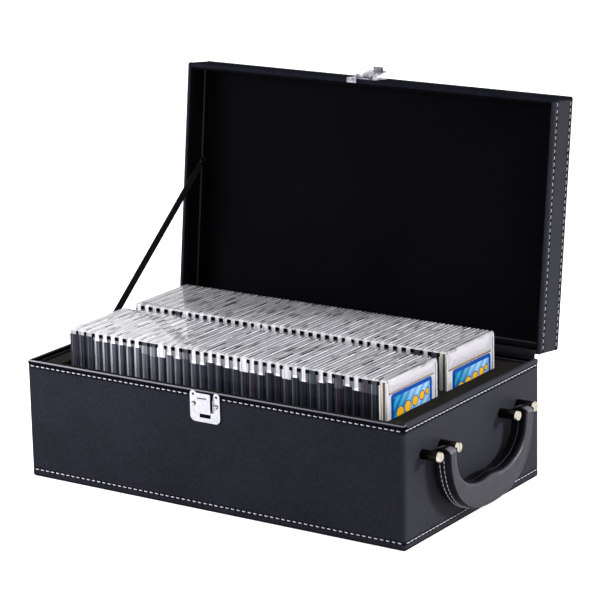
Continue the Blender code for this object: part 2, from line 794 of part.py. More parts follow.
def rivet(name, x, z, inner, head_face, body):
    """A round-headed rivet through a plate, the leatherette and the board behind it."""
    head = rod(
        name,
        (x, head_face, z),
        (x, head_face - RIVET_HEAD_RISE, z),
        RIVET_HEAD_RADIUS,
        NICKEL_LOOK,
        body,
        ROUND_SIDES,
        RIVET_HEAD_RADIUS * 0.65,
    )
    shank = rod(
        name + "_shank",
        (x, head_face - RIVET_HEAD_RISE / 2, z),
        (x, inner, z),
        RIVET_SHANK_RADIUS,
        None,
        body,
        SMALL_SIDES,
    )
    return join(head, shank)


def rivet_hole(name, x, z, body):
    """A hole for a rivet's shank, right through the front wall."""
    return rod(
        name,
        (x, FRONT - OVERRUN, z),
        (x, FRONT + BOARD_BACK + GAP / 2, z),
        RIVET_HOLE_RADIUS,
        None,
        body,
        SMALL_SIDES,
    )


# Latch plate: pressed sheet on the front, with two ears, a slot and a tongue that opens downward
def latch_outline():
    """The plate from the front, from its lower left corner round, with Z down from the rim."""
    half = LATCH_WIDTH / 2
    ear = EAR_WIDTH / 2
    points = arc((LATCH_CORNER - half, LATCH_CORNER - LATCH_HEIGHT), LATCH_CORNER, 180, 270, BEND_STEPS)
    points += arc((half - LATCH_CORNER, LATCH_CORNER - LATCH_HEIGHT), LATCH_CORNER, 270, 360, BEND_STEPS)
    points += arc((half - ear, -ear), ear, 0, 180, BEND_STEPS)
    points.append((half - EAR_WIDTH, -EAR_DROP))
    points.append((EAR_WIDTH - half, -EAR_DROP))
    points += arc((ear - half, -ear), ear, 0, 180, BEND_STEPS)
    return points


latch_back = FRONT - GAP
latch_face = latch_back - LATCH_SHEET
latch_plate = flat_plate(
    "latch_plate",
    latch_outline(),
    LATCH_SHEET,
    "XZ",
    (LATCH_X, (latch_back + latch_face) / 2, BASE_HEIGHT),
    NICKEL_LOOK,
)
tongue_inner = latch_face - TONGUE_RISE + LATCH_SHEET
tongue_path = [
    (latch_face, BASE_HEIGHT - EAR_DROP - TONGUE_TOP),
    (latch_face, BASE_HEIGHT - EAR_DROP),
    (tongue_inner, BASE_HEIGHT - TONGUE_TOP - LATCH_SHEET),
    (tongue_inner, BASE_HEIGHT - TONGUE_BOTTOM),
]
tongue = flat_plate(
    "latch_tongue",
    bent_strip([(y - latch_back, z) for y, z in tongue_path[::-1]], LATCH_SHEET),
    TONGUE_WIDTH,
    "YZ",
    (LATCH_X, latch_back, 0),
)
slot = block(
    "cut_slot",
    (LATCH_X - SLOT_WIDTH / 2, latch_face - OVERRUN / 2, BASE_HEIGHT - SLOT_TOP - SLOT_HEIGHT),
    (LATCH_X + SLOT_WIDTH / 2, latch_back + GAP / 2, BASE_HEIGHT - SLOT_TOP),
)
latch_window = block(
    "cut_latch_window",
    (LATCH_X - SLOT_WIDTH / 2, latch_face - GAP / 2, BASE_HEIGHT - SLOT_TOP - SLOT_HEIGHT / 2),
    (LATCH_X + SLOT_WIDTH / 2, latch_back + GAP / 2, BASE_HEIGHT - RIVET_DROP),
)
cut(latch_plate, latch_window)
join(latch_plate, tongue)
cut(latch_plate, slot)
for side_name, side in (("left", -1), ("right", 1)):
    ear_x = LATCH_X + side * (LATCH_WIDTH - EAR_WIDTH) / 2
    ear_z = BASE_HEIGHT - EAR_WIDTH / 2
    cut(
        latch_plate,
        rod(
            "cut_ear_" + side_name,
            (ear_x, latch_back + OVERRUN, ear_z),
            (ear_x, latch_face - OVERRUN, ear_z),
            EAR_HOLE_RADIUS,
            sides=SMALL_SIDES,
        ),
    )
    rivet_x = LATCH_X + side * RIVET_SPACING / 2
    rivet_z = BASE_HEIGHT - RIVET_DROP
    rivet(f"latch_rivet_{side_name}", rivet_x, rivet_z, FRONT + BOARD_BACK, latch_face - GAP, None)
    hole = rivet_hole("cut_latch_rivet_" + side_name, rivet_x, rivet_z, None)
    cut(latch_plate, hole)
    cut(base_wrap, hole)
    cut(front_board, hole)

# Hasp plate: pressed sheet on the lid's front, with a tab over the rim and two knuckles
hasp_back = FRONT - GAP
hasp_face = hasp_back - HASP_SHEET
tab_drop = (RIM_GAP + HASP_SHEET) / 2
hasp_half = LATCH_WIDTH / 2
hasp_outline = [(-hasp_half, 0), (hasp_half, 0)]
hasp_outline += arc(
    (hasp_half - LATCH_CORNER, HASP_HEIGHT - LATCH_CORNER), LATCH_CORNER, 0, 90, BEND_STEPS
)
hasp_outline += arc(
    (LATCH_CORNER - hasp_half, HASP_HEIGHT - LATCH_CORNER), LATCH_CORNER, 90, 180, BEND_STEPS
)
hasp_plate = flat_plate(
    "hasp_plate",
    hasp_outline,
    HASP_SHEET,
    "XZ",
    (LATCH_X, (hasp_back + hasp_face) / 2, LID_RIM),
    NICKEL_LOOK,
    lid,
)
tab_x = LATCH_X - HASP_TAB_OFFSET

tab = block(
    "hasp_tab",
    (tab_x - HASP_TAB_WIDTH / 2, hasp_face, LID_RIM - tab_drop),
    (tab_x + HASP_TAB_WIDTH / 2, FRONT + HASP_TAB_REACH, LID_RIM - tab_drop + HASP_SHEET),
    None,
    lid,
)
tab_web = block(
    "hasp_tab_web",
    (tab_x - HASP_TAB_WIDTH / 2, hasp_face, LID_RIM - tab_drop),
    (tab_x + HASP_TAB_WIDTH / 2, hasp_back, LID_RIM + HASP_SHEET),
    None,
    lid,
)
join(hasp_plate, tab_web, tab)


def hasp_knuckle(name, x0, x1, body):
    """A knuckle of the hasp with the foot that joins it to its sheet."""
    return rod(
        name,
        (LATCH_X + x0, HASP_PIN_Y, HASP_PIN_Z),
        (LATCH_X + x1, HASP_PIN_Y, HASP_PIN_Z),
        HASP_KNUCKLE_RADIUS,
        None,
        body,
    )


neck = LEVER_NECK / 2
knuckle_end = HASP_KNUCKLE_SPAN / 2
for side_name, side in (("left", -1), ("right", 1)):
    low_x, high_x = sorted((side * (neck + KNUCKLE_GAP), side * knuckle_end))
    join(hasp_plate, hasp_knuckle("hasp_knuckle_" + side_name, low_x, high_x, lid))
    foot = block(
        "hasp_foot_" + side_name,
        (LATCH_X + low_x, HASP_PIN_Y, HASP_PIN_Z),
        (LATCH_X + high_x, hasp_face + HASP_SHEET / 2, HASP_PIN_Z + HASP_KNUCKLE_RADIUS / 2),
        None,
        lid,
    )
    join(hasp_plate, foot)
    rivet_x = LATCH_X + side * HASP_RIVET_SPACING / 2
    rivet_z = LID_RIM + HASP_RIVET_RISE
    rivet(f"hasp_rivet_{side_name}", rivet_x, rivet_z, FRONT + BOARD_BACK, hasp_face - GAP, lid)
    hole = rivet_hole("cut_hasp_rivet_" + side_name, rivet_x, rivet_z, lid)
    cut(hasp_plate, hole)
    cut(lid_wrap, hole)
    cut(lid_front_board, hole)
hasp_bore = rod(
    "cut_hasp_bore",
    (LATCH_X - knuckle_end - OVERRUN, HASP_PIN_Y, HASP_PIN_Z),
    (LATCH_X + knuckle_end + OVERRUN, HASP_PIN_Y, HASP_PIN_Z),
    HASP_PIN_RADIUS + PIN_CLEARANCE,
    None,
    lid,
    SMALL_SIDES,
)
cut(hasp_plate, hasp_bore)

# Hasp pin: through the knuckles of the plate and the lever
rod(
    "hasp_pin",
    (LATCH_X - knuckle_end - GAP, HASP_PIN_Y, HASP_PIN_Z),
    (LATCH_X + knuckle_end + GAP, HASP_PIN_Y, HASP_PIN_Z),
    HASP_PIN_RADIUS,
    NICKEL_LOOK,
    lid,
    SMALL_SIDES,
)

# Hasp lever: hangs from the pin over the tongue, with a lip into the slot and a thumb tab
lever_outer = HASP_PIN_Y - HASP_KNUCKLE_RADIUS
lever_inner = lever_outer + LEVER_SHEET
lip_top = BASE_HEIGHT - SLOT_TOP - GAP
lip_bottom = lip_top - LEVER_SHEET
shoulder = HASP_PIN_Z - HASP_KNUCKLE_RADIUS - GAP * 2
lever_half = LEVER_WIDTH / 2
lever_outline = [
    (-lever_half, lip_bottom),
    (lever_half, lip_bottom),
    (lever_half, shoulder),
    (neck, shoulder),
    (neck, HASP_PIN_Z),
    (-neck, HASP_PIN_Z),
    (-neck, shoulder),
    (-lever_half, shoulder),
]
hasp_lever = flat_plate(
    "hasp_lever",
    [(x, z - HASP_PIN_Z) for x, z in lever_outline],
    LEVER_SHEET,
    "XZ",
    (LATCH_X, (lever_inner + lever_outer) / 2, HASP_PIN_Z),
    NICKEL_LOOK,
    lever_body,
)
join(hasp_lever, hasp_knuckle("lever_knuckle", -neck, neck, lever_body))
lip = block(
    "lever_lip",
    (LATCH_X - LIP_WIDTH / 2, lever_outer, lip_bottom),
    (LATCH_X + LIP_WIDTH / 2, latch_back - GAP, lip_top),
    None,
    lever_body,
)
thumb_path = [
    (0, LEVER_SHEET),
    (0, 0),
    (-THUMB_FLARE, -THUMB_TAB),
]
thumb = flat_plate(
    "lever_thumb_tab",
    bent_strip(thumb_path, LEVER_SHEET),
    LIP_WIDTH,
    "YZ",
    (LATCH_X, lever_outer, lip_bottom),
    None,
    lever_body,
)
join(hasp_lever, lip, thumb)
lever_bore = rod(
    "cut_lever_bore",
    (LATCH_X - knuckle_end, HASP_PIN_Y, HASP_PIN_Z),
    (LATCH_X + knuckle_end, HASP_PIN_Y, HASP_PIN_Z),
    HASP_PIN_RADIUS + PIN_CLEARANCE,
    None,
    lever_body,
    SMALL_SIDES,
)
cut(hasp_lever, lever_bore)

# Handle posts: four round posts on the right end, each held by a slotted screw and an inner nut
post_ys = []
for pair in (-1, 1):
    for side in (-1, 1):
        post_ys.append((HANDLE_Y + pair * HANDLE_PAIR_SPACING / 2 + side * POST_SPACING / 2, side))
post_base = HALF_LENGTH + GAP
post_end = post_base + POST_LENGTH
head_start = post_end + GAP
nut_face = HALF_LENGTH - BOARD_BACK - GAP
for number, (post_y, side) in enumerate(post_ys, 1):
    post = rod(
        f"handle_post_{number}",
        (post_base, post_y, HANDLE_Z),
        (post_end, post_y, HANDLE_Z),
        POST_RADIUS,
        BRONZE_LOOK,
    )
    bore = rod(
        f"cut_post_bore_{number}",
        (nut_face - NUT_THICKNESS - OVERRUN / 4, post_y, HANDLE_Z),
        (post_end + OVERRUN, post_y, HANDLE_Z),
        POST_BORE_RADIUS,
    )
    seat = rod(
        f"cut_pin_seat_{number}",
        (HANDLE_X, post_y - side * (POST_RADIUS + OVERRUN), CROSS_PIN_Z),
        (HANDLE_X, post_y - side * (POST_RADIUS - CROSS_PIN_SEAT - GAP), CROSS_PIN_Z),
        CROSS_PIN_RADIUS + GAP,
    )
    cut(post, bore, seat)
    cut(base_wrap, bore)
    cut(right_board, bore)
    screw = rod(
        f"handle_screw_{number}",
        (head_start, post_y, HANDLE_Z),
        (head_start + SCREW_HEAD, post_y, HANDLE_Z),
        SCREW_HEAD_RADIUS,
        NICKEL_LOOK,
        end_radius=SCREW_HEAD_RADIUS * 0.86,
    )
    shank = rod(
        f"screw_shank_{number}",
        (nut_face - NUT_THICKNESS, post_y, HANDLE_Z),
        (head_start + SCREW_HEAD / 4, post_y, HANDLE_Z),
        SCREW_SHANK_RADIUS,
    )
    slot_x = head_start + SCREW_HEAD
    driver_slot = block(
        f"cut_screw_slot_{number}",
        (slot_x - SCREW_SLOT_DEPTH, post_y - SCREW_SLOT / 2, HANDLE_Z - SCREW_HEAD_RADIUS - OVERRUN),
        (slot_x + OVERRUN, post_y + SCREW_SLOT / 2, HANDLE_Z + SCREW_HEAD_RADIUS + OVERRUN),
    )
    join(screw, shank)
    cut(screw, driver_slot)
    nut = rod(
        f"handle_nut_{number}",
        (nut_face - NUT_THICKNESS, post_y, HANDLE_Z),
        (nut_face, post_y, HANDLE_Z),
        NUT_RADIUS,
        STEEL_LOOK,
        sides=SMALL_SIDES,
    )
    cut(nut, bore)

# Cross pins: one between the posts of each pair, which an end of the handle turns on
pin_half = POST_SPACING / 2 - POST_RADIUS + CROSS_PIN_SEAT
for side_name, side in (("front", -1), ("back", 1)):
    pin_y = HANDLE_Y + side * HANDLE_PAIR_SPACING / 2
    rod(
        "handle_pin_" + side_name,
        (HANDLE_X, pin_y - pin_half, CROSS_PIN_Z),
        (HANDLE_X, pin_y + pin_half, CROSS_PIN_Z),
        CROSS_PIN_RADIUS,
        STEEL_LOOK,
    )


def u_line(half_span, top, depth, power, shares, swell=0):
    """Points of a U at given shares of its length, left to right: half a superellipse hung from its top."""
    steps = 720
    line = []
    for i in range(steps + 1):
        angle = math.pi * i / steps
        across, down = math.cos(angle), math.sin(angle)
        y = -math.copysign(half_span * abs(across) ** (2 / power), across)
        z = top - depth * down ** (2 / power)
        if abs(y) < GRIP_SWELL_LENGTH / 2:
            z += swell * (1 + math.cos(2 * math.pi * y / GRIP_SWELL_LENGTH)) / 2
        line.append(Vector((y, z)))
    lengths = [0.0]
    for here, ahead in zip(line, line[1:]):
        lengths.append(lengths[-1] + (ahead - here).length)
    points = []
    i = 0
    for share in shares:
        while i < steps - 1 and lengths[i + 1] < share * lengths[-1]:
            i += 1
        along = (share * lengths[-1] - lengths[i]) / (lengths[i + 1] - lengths[i])
        points.append(line[i].lerp(line[i + 1], along))
    return points


def section_ring(inner, outer, thickness, width_share):
    """A rounded rectangle across the U, from its inner line to its outer one, as points in the body's axes."""
    middle = (inner + outer) / 2
    across = (outer - inner) * width_share
    half_width = across.length / 2
    across.normalize()
    edge = min(HANDLE_EDGE, thickness * 0.45)
    ring = []
    for first, side_u, side_v in ((0, 1, 1), (90, -1, 1), (180, -1, -1), (270, 1, -1)):
        corner = (side_u * (half_width - edge), side_v * (thickness / 2 - edge))
        for u, v in arc(corner, edge, first, first + 90, 2):
            place = middle + across * u
            ring.append(Vector((v, place.x, place.y)))
    return ring


# Handle wrap: padded leatherette moulded round the core, with a swell for the fingers
leg = HANDLE_PAIR_SPACING / 2
half_end = HANDLE_END_WIDTH / 2
leg_length = HANDLE_DEPTH + leg
stations = []
for angle in (20, 40, 62, 90):
    turned = math.radians(angle)
    depth = HANDLE_END_ROUND * (math.cos(math.radians(20)) - math.cos(turned))
    stations.append((depth / leg_length / 2, math.sin(turned)))
first_share = stations[-1][0]
body_steps = 44
shares = [(first_share + (1 - 2 * first_share) * i / body_steps, 1.0) for i in range(1, body_steps)]
stations = stations + shares + [(1 - share, thick) for share, thick in reversed(stations)]
outer_line = u_line(leg + half_end, HANDLE_TOP, HANDLE_DEPTH, HANDLE_CURVE, [s for s, _ in stations])
inner_line = u_line(
    leg - half_end, HANDLE_TOP, GRIP_DEPTH, GRIP_CURVE, [s for s, _ in stations], GRIP_SWELL
)
handle_bm = bmesh.new()
rings = []
for inner, outer, (_, thick) in zip(inner_line, outer_line, stations):
    ring = section_ring(inner, outer, HANDLE_THICKNESS * thick, 0.86 + 0.14 * thick)
    rings.append([handle_bm.verts.new(point) for point in ring])
for here, ahead in zip(rings, rings[1:]):
    for i in range(len(here)):
        j = (i + 1) % len(here)
        handle_bm.faces.new((here[i], here[j], ahead[j], ahead[i]))
handle_bm.faces.new(rings[0])
handle_bm.faces.new(rings[-1])
handle_middle = (HANDLE_X, HANDLE_Y + HANDLE_SLIDE, CROSS_PIN_Z)
handle_wrap = finish("handle_wrap", handle_bm, handle_middle, LEATHER_LOOK, handle_body)


def core_outline(spare):
    """The core's U from the end of the case, with a margin all round it."""
    half = CORE_WIDTH / 2 + spare
    even = [i / 40 for i in range(41)]
    outer = u_line(leg + half, CORE_TOP + spare, CORE_DEPTH + half + spare, CORE_CURVE, even)
    inner = u_line(leg - half, CORE_TOP + spare, CORE_DEPTH - half + spare, CORE_CURVE, even)
    return outer + inner[::-1]


core_channel = flat_plate(
    "cut_core_channel",
    core_outline(GAP),
    CORE_THICKNESS + 2 * GAP,
    "YZ",
    handle_middle,
    None,
    handle_body,
)
cut(handle_wrap, core_channel)

# Handle core: the steel strap inside the padding, with an eye at each end
handle_core = flat_plate(
    "handle_core", core_outline(0), CORE_THICKNESS, "YZ", handle_middle, STEEL_LOOK, handle_body
)
for side_name, side in (("front", -1), ("back", 1)):
    eye_y = handle_middle[1] + side * leg
    eye_end = half_end + OVERRUN
    eye = rod(
        "cut_eye_" + side_name,
        (HANDLE_X, eye_y - eye_end, CROSS_PIN_Z),
        (HANDLE_X, eye_y + eye_end, CROSS_PIN_Z),
        CROSS_PIN_RADIUS + PIN_CLEARANCE,
        None,
        handle_body,
    )
    cut(handle_wrap, eye)
    cut(handle_core, eye)

# Stay strap: flat webbing from inside the left wall up to the lid, taut when the lid is open
strap_inset = COLLAR_INSET + LID_LINING + GAP
strap_x = -HALF_LENGTH + strap_inset + STRAP_THICKNESS / 2
tack_y = HALF_DEPTH - STRAP_LID_FROM_HINGE
tack_z = LID_RIM + STRAP_LID_FROM_RIM
top_y, top_z = turned_about_hinge(tack_y, tack_z)
run = Vector((top_y - STRAP_BASE_Y, top_z - BASE_HEIGHT)).normalized()
strap_foot = Vector((STRAP_BASE_Y, BASE_HEIGHT)) - run * STRAP_TUCK / run.y
strap_head = Vector((top_y, top_z)) + run * STRAP_END
strap_half = STRAP_WIDTH / 2
strap_outline = [
    (strap_foot.x + run.y * strap_half, strap_foot.y - run.x * strap_half),
    (strap_head.x + run.y * strap_half, strap_head.y - run.x * strap_half),
    (strap_head.x - run.y * strap_half, strap_head.y + run.x * strap_half),
    (strap_foot.x - run.y * strap_half, strap_foot.y + run.x * strap_half),
]
stay_strap = flat_plate(
    "stay_strap", strap_outline, STRAP_THICKNESS, "YZ", (strap_x, 0, 0), WEBBING_LOOK
)
pocket = block(
    "cut_strap_pocket",
    (
        -HALF_LENGTH + COLLAR_INSET - OVERRUN,
        strap_foot.x - strap_half - POCKET_MARGIN,
        strap_foot.y - strap_half - POCKET_MARGIN,
    ),
    (
        -HALF_LENGTH + strap_inset + STRAP_THICKNESS + GAP,
        STRAP_BASE_Y + strap_half + POCKET_MARGIN,
        BASE_HEIGHT + OVERRUN,
    ),
)
cut(lining_collar, pocket)

# Strap tack: a round stud through the strap into the lid's left board
tack_face = -HALF_LENGTH + strap_inset + STRAP_THICKNESS + GAP
tack_tip = -HALF_LENGTH + BOARD_INSET + BOARD / 2
strap_tack = rod(
    "strap_tack",
    (tack_face, tack_y, tack_z),
    (tack_face + TACK_HEAD, tack_y, tack_z),
    TACK_HEAD_RADIUS,
    NICKEL_LOOK,
    lid,
    end_radius=TACK_HEAD_RADIUS * 0.7,
)
tack_shank = rod(
    "tack_shank",
    (tack_tip, tack_y, tack_z),
    (tack_face + TACK_HEAD / 2, tack_y, tack_z),
    TACK_SHANK_RADIUS,
    None,
    lid,
    SMALL_SIDES,
)
join(strap_tack, tack_shank)
tack_hole = rod(
    "cut_tack",
    (tack_tip - GAP, tack_y, tack_z),
    (tack_face + TACK_HEAD, tack_y, tack_z),
    TACK_SHANK_RADIUS + PIN_CLEARANCE * 2,
    None,
    lid,
    SMALL_SIDES,
)
for held in (lid_left_board, lid_lining, stay_strap):
    cut(held, tack_hole)
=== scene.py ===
"""Graded card storage case: the look of the photograph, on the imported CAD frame.

Sizes in the sections are millimetres in the row frame, and surface() turns them into metres.
The lid's pieces are drawn on the closed case, then turned open with open_lid().
"""

import math

import bmesh
import bpy
import numpy as np
from mathutils import Matrix, Vector


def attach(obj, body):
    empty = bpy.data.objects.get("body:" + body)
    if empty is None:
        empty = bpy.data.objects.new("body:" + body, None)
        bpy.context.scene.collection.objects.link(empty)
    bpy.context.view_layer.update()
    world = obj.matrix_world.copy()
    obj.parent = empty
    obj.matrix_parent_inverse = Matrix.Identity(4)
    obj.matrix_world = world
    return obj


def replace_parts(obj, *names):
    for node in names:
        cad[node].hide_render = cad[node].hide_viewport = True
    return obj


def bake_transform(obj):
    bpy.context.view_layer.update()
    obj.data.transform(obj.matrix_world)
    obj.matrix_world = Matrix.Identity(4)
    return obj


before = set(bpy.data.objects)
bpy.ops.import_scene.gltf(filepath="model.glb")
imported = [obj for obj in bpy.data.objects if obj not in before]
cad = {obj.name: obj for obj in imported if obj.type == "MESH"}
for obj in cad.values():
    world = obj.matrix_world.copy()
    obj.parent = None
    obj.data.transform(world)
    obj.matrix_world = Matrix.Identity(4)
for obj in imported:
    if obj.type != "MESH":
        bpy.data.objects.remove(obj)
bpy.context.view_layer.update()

# ---------------------------------------------------------------- Camera
# Solved from the case's straight edges and the slabs' corners in the photograph.
# The principal point is about a pixel off the middle, which the lens shift carries.
yaw, pitch, roll = (math.radians(a) for a in (34.0, 15.124, -1.274))
photo_px, focal_px, centre_px = 600, 2746.142, (300.955, 302.654)
aim, distance = Vector((0.022831, 0, 0.165934)), 2.447268
level = Vector((-math.sin(yaw), math.cos(yaw), 0))
forward = level * math.cos(pitch) - Vector((0, 0, math.sin(pitch)))
right = Vector((math.cos(yaw), math.sin(yaw), 0))
up = right.cross(forward)
camera = bpy.data.objects.new("camera", bpy.data.cameras.new("camera"))
camera.data.sensor_width = 36
camera.data.lens = focal_px / photo_px * 36
camera.data.shift_x = (photo_px / 2 - centre_px[0]) / photo_px
camera.data.shift_y = (centre_px[1] - photo_px / 2) / photo_px
camera.data.clip_end = 50
axes = Matrix((right * math.cos(roll) + up * math.sin(roll), up * math.cos(roll) - right * math.sin(roll), -forward))
camera.matrix_world = Matrix.Translation(aim - forward * distance) @ axes.transposed().to_4x4()
bpy.context.scene.collection.objects.link(camera)
bpy.context.scene.camera = camera


# ---------------------------------------------------------------- Floor and studio light
# A pale seamless floor under a white tent: an even sky, a weak key from the front left, a fill from the
# handle's side and one softbox at the front left, whose light fades along the case's front.
def linear(code):
    """Linear colour of an sRGB hex code: c / 12.92 up to 0.04045, else ((c + 0.055) / 1.055) ^ 2.4."""
    c = np.array([int(code[i : i + 2], 16) for i in (1, 3, 5)]) / 255
    return (*np.where(c <= 0.04045, c / 12.92, ((c + 0.055) / 1.055) ** 2.4), 1.0)


def add(owner, kind, inputs=(), node=None, **settings):
    """Adds a node, or takes the one given, or the shader where kind is empty, and sets its settings and its inputs,
    which are in order or by name: numbers and hex colours as values, sockets as links, and nodes as links from their
    first live output."""
    tree = owner.node_tree
    made = node or (tree.nodes.new("ShaderNode" + kind) if kind else tree.nodes["Principled BSDF"])
    if kind == "Mix":
        made.data_type = "RGBA"
    for key, value in settings.items():
        setattr(made, key, value)
    for key, value in inputs.items() if isinstance(inputs, dict) else enumerate(inputs):
        if isinstance(value, bpy.types.Node):
            value = next(socket for socket in value.outputs if socket.enabled)
        if isinstance(value, bpy.types.NodeSocket):
            tree.links.new(value, made.inputs[key])
        else:
            made.inputs[key].default_value = linear(value) if isinstance(value, str) else value
    return made


def substance(name, colour, roughness, **sockets):
    """A material named for its substance, with its constants on the shader's own sockets."""
    made = bpy.data.materials.new(name)
    made.use_nodes = True
    values = {k.replace("_", " "): v for k, v in sockets.items()}
    add(made, "", {"Base Color": colour, "Roughness": roughness, **values})
    return made


def seen_by(owner, other):
    """1 for camera rays and for one other kind, 0 for the rest."""
    rays = add(owner, "LightPath").outputs
    return add(owner, "Math", (rays["Is Camera Ray"], rays[other]), operation="MAXIMUM")


floor_mesh = bpy.data.meshes.new("floor")
floor_mesh.from_pydata([(-9, -9, 0), (9, -9, 0), (9, 9, 0), (-9, 9, 0)], [], [(0, 1, 2, 3)])
floor = bpy.data.objects.new("floor", floor_mesh)
bpy.context.scene.collection.objects.link(floor)
floor.location.z = -0.0004
# pale_paper: white paper that glows a little where it is seen, so that the shadow stays but stays light
paper = substance("pale_paper", "#FAFAFA", 0.9, Specular_IOR_Level=0.1, Emission_Color=(1, 1, 1, 1))
glow = add(paper, "MapRange", {"Value": seen_by(paper, "Is Transmission Ray"), "To Min": 0.0, "To Max": 0.5})
add(paper, "", {"Emission Strength": glow})
floor_mesh.materials.append(paper)

world = bpy.data.worlds.new("tent")
bpy.context.scene.world = world
world.use_nodes = True
sky_level = add(world, "MapRange", {"Value": seen_by(world, "Is Glossy Ray"), "To Min": 0.60, "To Max": 1.0})
sky = world.node_tree.nodes["Background"]
add(world, "", {"Color": (1, 1, 1, 1), "Strength": sky_level}, node=sky)
for name, heading, height, spread, strength in (("key", -62, 60, 42, 0.5), ("fill", 116, 24, 14, 3.0)):
    lamp = bpy.data.lights.new(name, "SUN")
    lamp.energy, lamp.angle = strength, math.radians(spread)
    holder = bpy.data.objects.new(name, lamp)
    holder.rotation_euler = (math.radians(90 - height), 0, math.radians(heading))
    bpy.context.scene.collection.objects.link(holder)
softbox = bpy.data.lights.new("softbox", "AREA")
softbox.shape, softbox.size, softbox.energy = "SQUARE", 0.5, 9.0
holder = bpy.data.objects.new("softbox", softbox)
holder.visible_glossy = False
holder.location = (-0.62, -0.52, 0.42)
holder.rotation_euler = (Vector((-0.2, 0, 0.08)) - holder.location).to_track_quat("-Z", "Y").to_euler()
bpy.context.scene.collection.objects.link(holder)
bpy.context.scene.view_settings.view_transform = "Standard"


# ---------------------------------------------------------------- Base wrap
# Black leatherette glued round the four walls, its edge rolled over the rim and sewn down. It swells into a bead
# between the rim and the stitches, and the sewn rows sink in. The hide carries painted light: a painted highlight
# along the rim's outer edge that fades towards the right, a paler handle's side for the fill light falling on it,
# and painted shade in the folds, the dips by the stitches, the rim's top, the foot and the hems inside.
def surface(name, points, faces, materials, which=None, sharp=None):
    """An object from points (n, 3) in mm and faces (m, 4), with a material index for each face."""
    mesh = bpy.data.meshes.new(name)
    mesh.from_pydata((np.asarray(points).reshape(-1, 3) / 1000).tolist(), [], [list(f) for f in faces])
    for mat in materials:
        mesh.materials.append(mat)
    if which is not None:
        mesh.polygons.foreach_set("material_index", np.asarray(which, np.int32).ravel())
    bm = bmesh.new()
    bm.from_mesh(mesh)
    bmesh.ops.recalc_face_normals(bm, faces=bm.faces)
    bm.to_mesh(mesh)
    bm.free()
    mesh.shade_smooth()
    if sharp:
        mesh.set_sharp_from_angle(angle=math.radians(sharp))
    made = bpy.data.objects.new(name, mesh)
    bpy.context.scene.collection.objects.link(made)
    return made


def quads(rows, columns, wrap_rows=False, wrap_columns=True, start=0):
    """Corner indices of a grid's cells: (r, c), (r, c + 1), (r + 1, c + 1), (r + 1, c), wrapped round where asked."""
    index = np.arange(rows * columns).reshape(rows, columns) + start
    index = np.vstack([index, index[:1]]) if wrap_rows else index
    index = np.hstack([index, index[:, :1]]) if wrap_columns else index
    corners = [index[:-1, :-1], index[:-1, 1:], index[1:, 1:], index[1:, :-1]]
    return np.stack(corners, -1).reshape(-1, 4)


def loop(inset, half_x, half_y, radius, step=1.5, arc=5):
    """Points round a rectangle whose corners are arcs, moved in by inset: the arcs shrink with it, to 0.2 at least."""
    r = max(radius - inset, 0.2)
    ax, ay = half_x - inset - r, half_y - inset - r
    count_x, count_y = int(2 * half_x / step), int(2 * half_y / step)
    turn = np.radians(np.linspace(0, 90, arc + 1))
    out = []
    corners = ((1, -1, -90, count_y), (1, 1, 0, count_x), (-1, 1, 90, count_y), (-1, -1, 180, count_x))
    for sx, sy, begin, count in corners:
        a = np.radians(begin) + turn
        corner = np.c_[sx * ax + r * np.cos(a), sy * ay + r * np.sin(a)]
        out.append(corner)
        side = np.array([-math.sin(a[-1] - math.pi), math.cos(a[-1] - math.pi)])
        length = 2 * (ay if count == count_y else ax)
        share = np.linspace(0, 1, count + 1)[1:-1, None]
        out.append(corner[-1] - side * share * length)
    return np.vstack(out)


def carried(profile, half_x, half_y, radius, step=1.5, arc=5):
    """Rows of a profile's points (inset, height), each carried round its own loop."""
    rings = [loop(inset, half_x, half_y, radius, step, arc) for inset, _ in profile]
    return np.array([np.c_[ring, np.full(len(ring), height)] for ring, (_, height) in zip(rings, profile)])


def puckered(profile, heights):
    """A wrap's profile carried round the case, and moved out and in along its loops by 0.07 cos(2 pi s / pitch), which
    fades away from the sewn heights."""
    grid = carried(profile[:, :2], half_long, half_deep, wrap_radius)
    flat = grid[len(grid) // 2, :, :2]
    s = np.r_[0, np.cumsum(np.linalg.norm(np.diff(flat, axis=0), axis=1))]
    ahead = np.roll(flat, -1, 0) - np.roll(flat, 1, 0)
    out = np.c_[ahead[:, 1], -ahead[:, 0]] / np.linalg.norm(ahead, axis=1)[:, None]
    near = sum(np.exp(-(((grid[:, :, 2] - h) / 2.2) ** 2)) for h in heights)
    grid[:, :, :2] += (near * 0.07 * np.cos(2 * np.pi * s / stitch_pitch))[:, :, None] * out
    return grid


def mark(made, name, values):
    """Stores one value for each point of the mesh, for its material to read."""
    made.data.attributes.new(name, "FLOAT", "POINT").data.foreach_set("value", np.asarray(values, np.float32).ravel())


def paint_handle_side_light(painted_light, grid, level):
    """Painted light raised to level times (x - 197) / 2, from 0 to 1, on the handle's side, where the fill light falls,
    but not in the painted shade.
    """
    side_light = level * np.clip((grid[..., 0] - 197) / 2, 0, 1)
    return np.where(painted_light > -0.05, np.maximum(painted_light, side_light), painted_light)


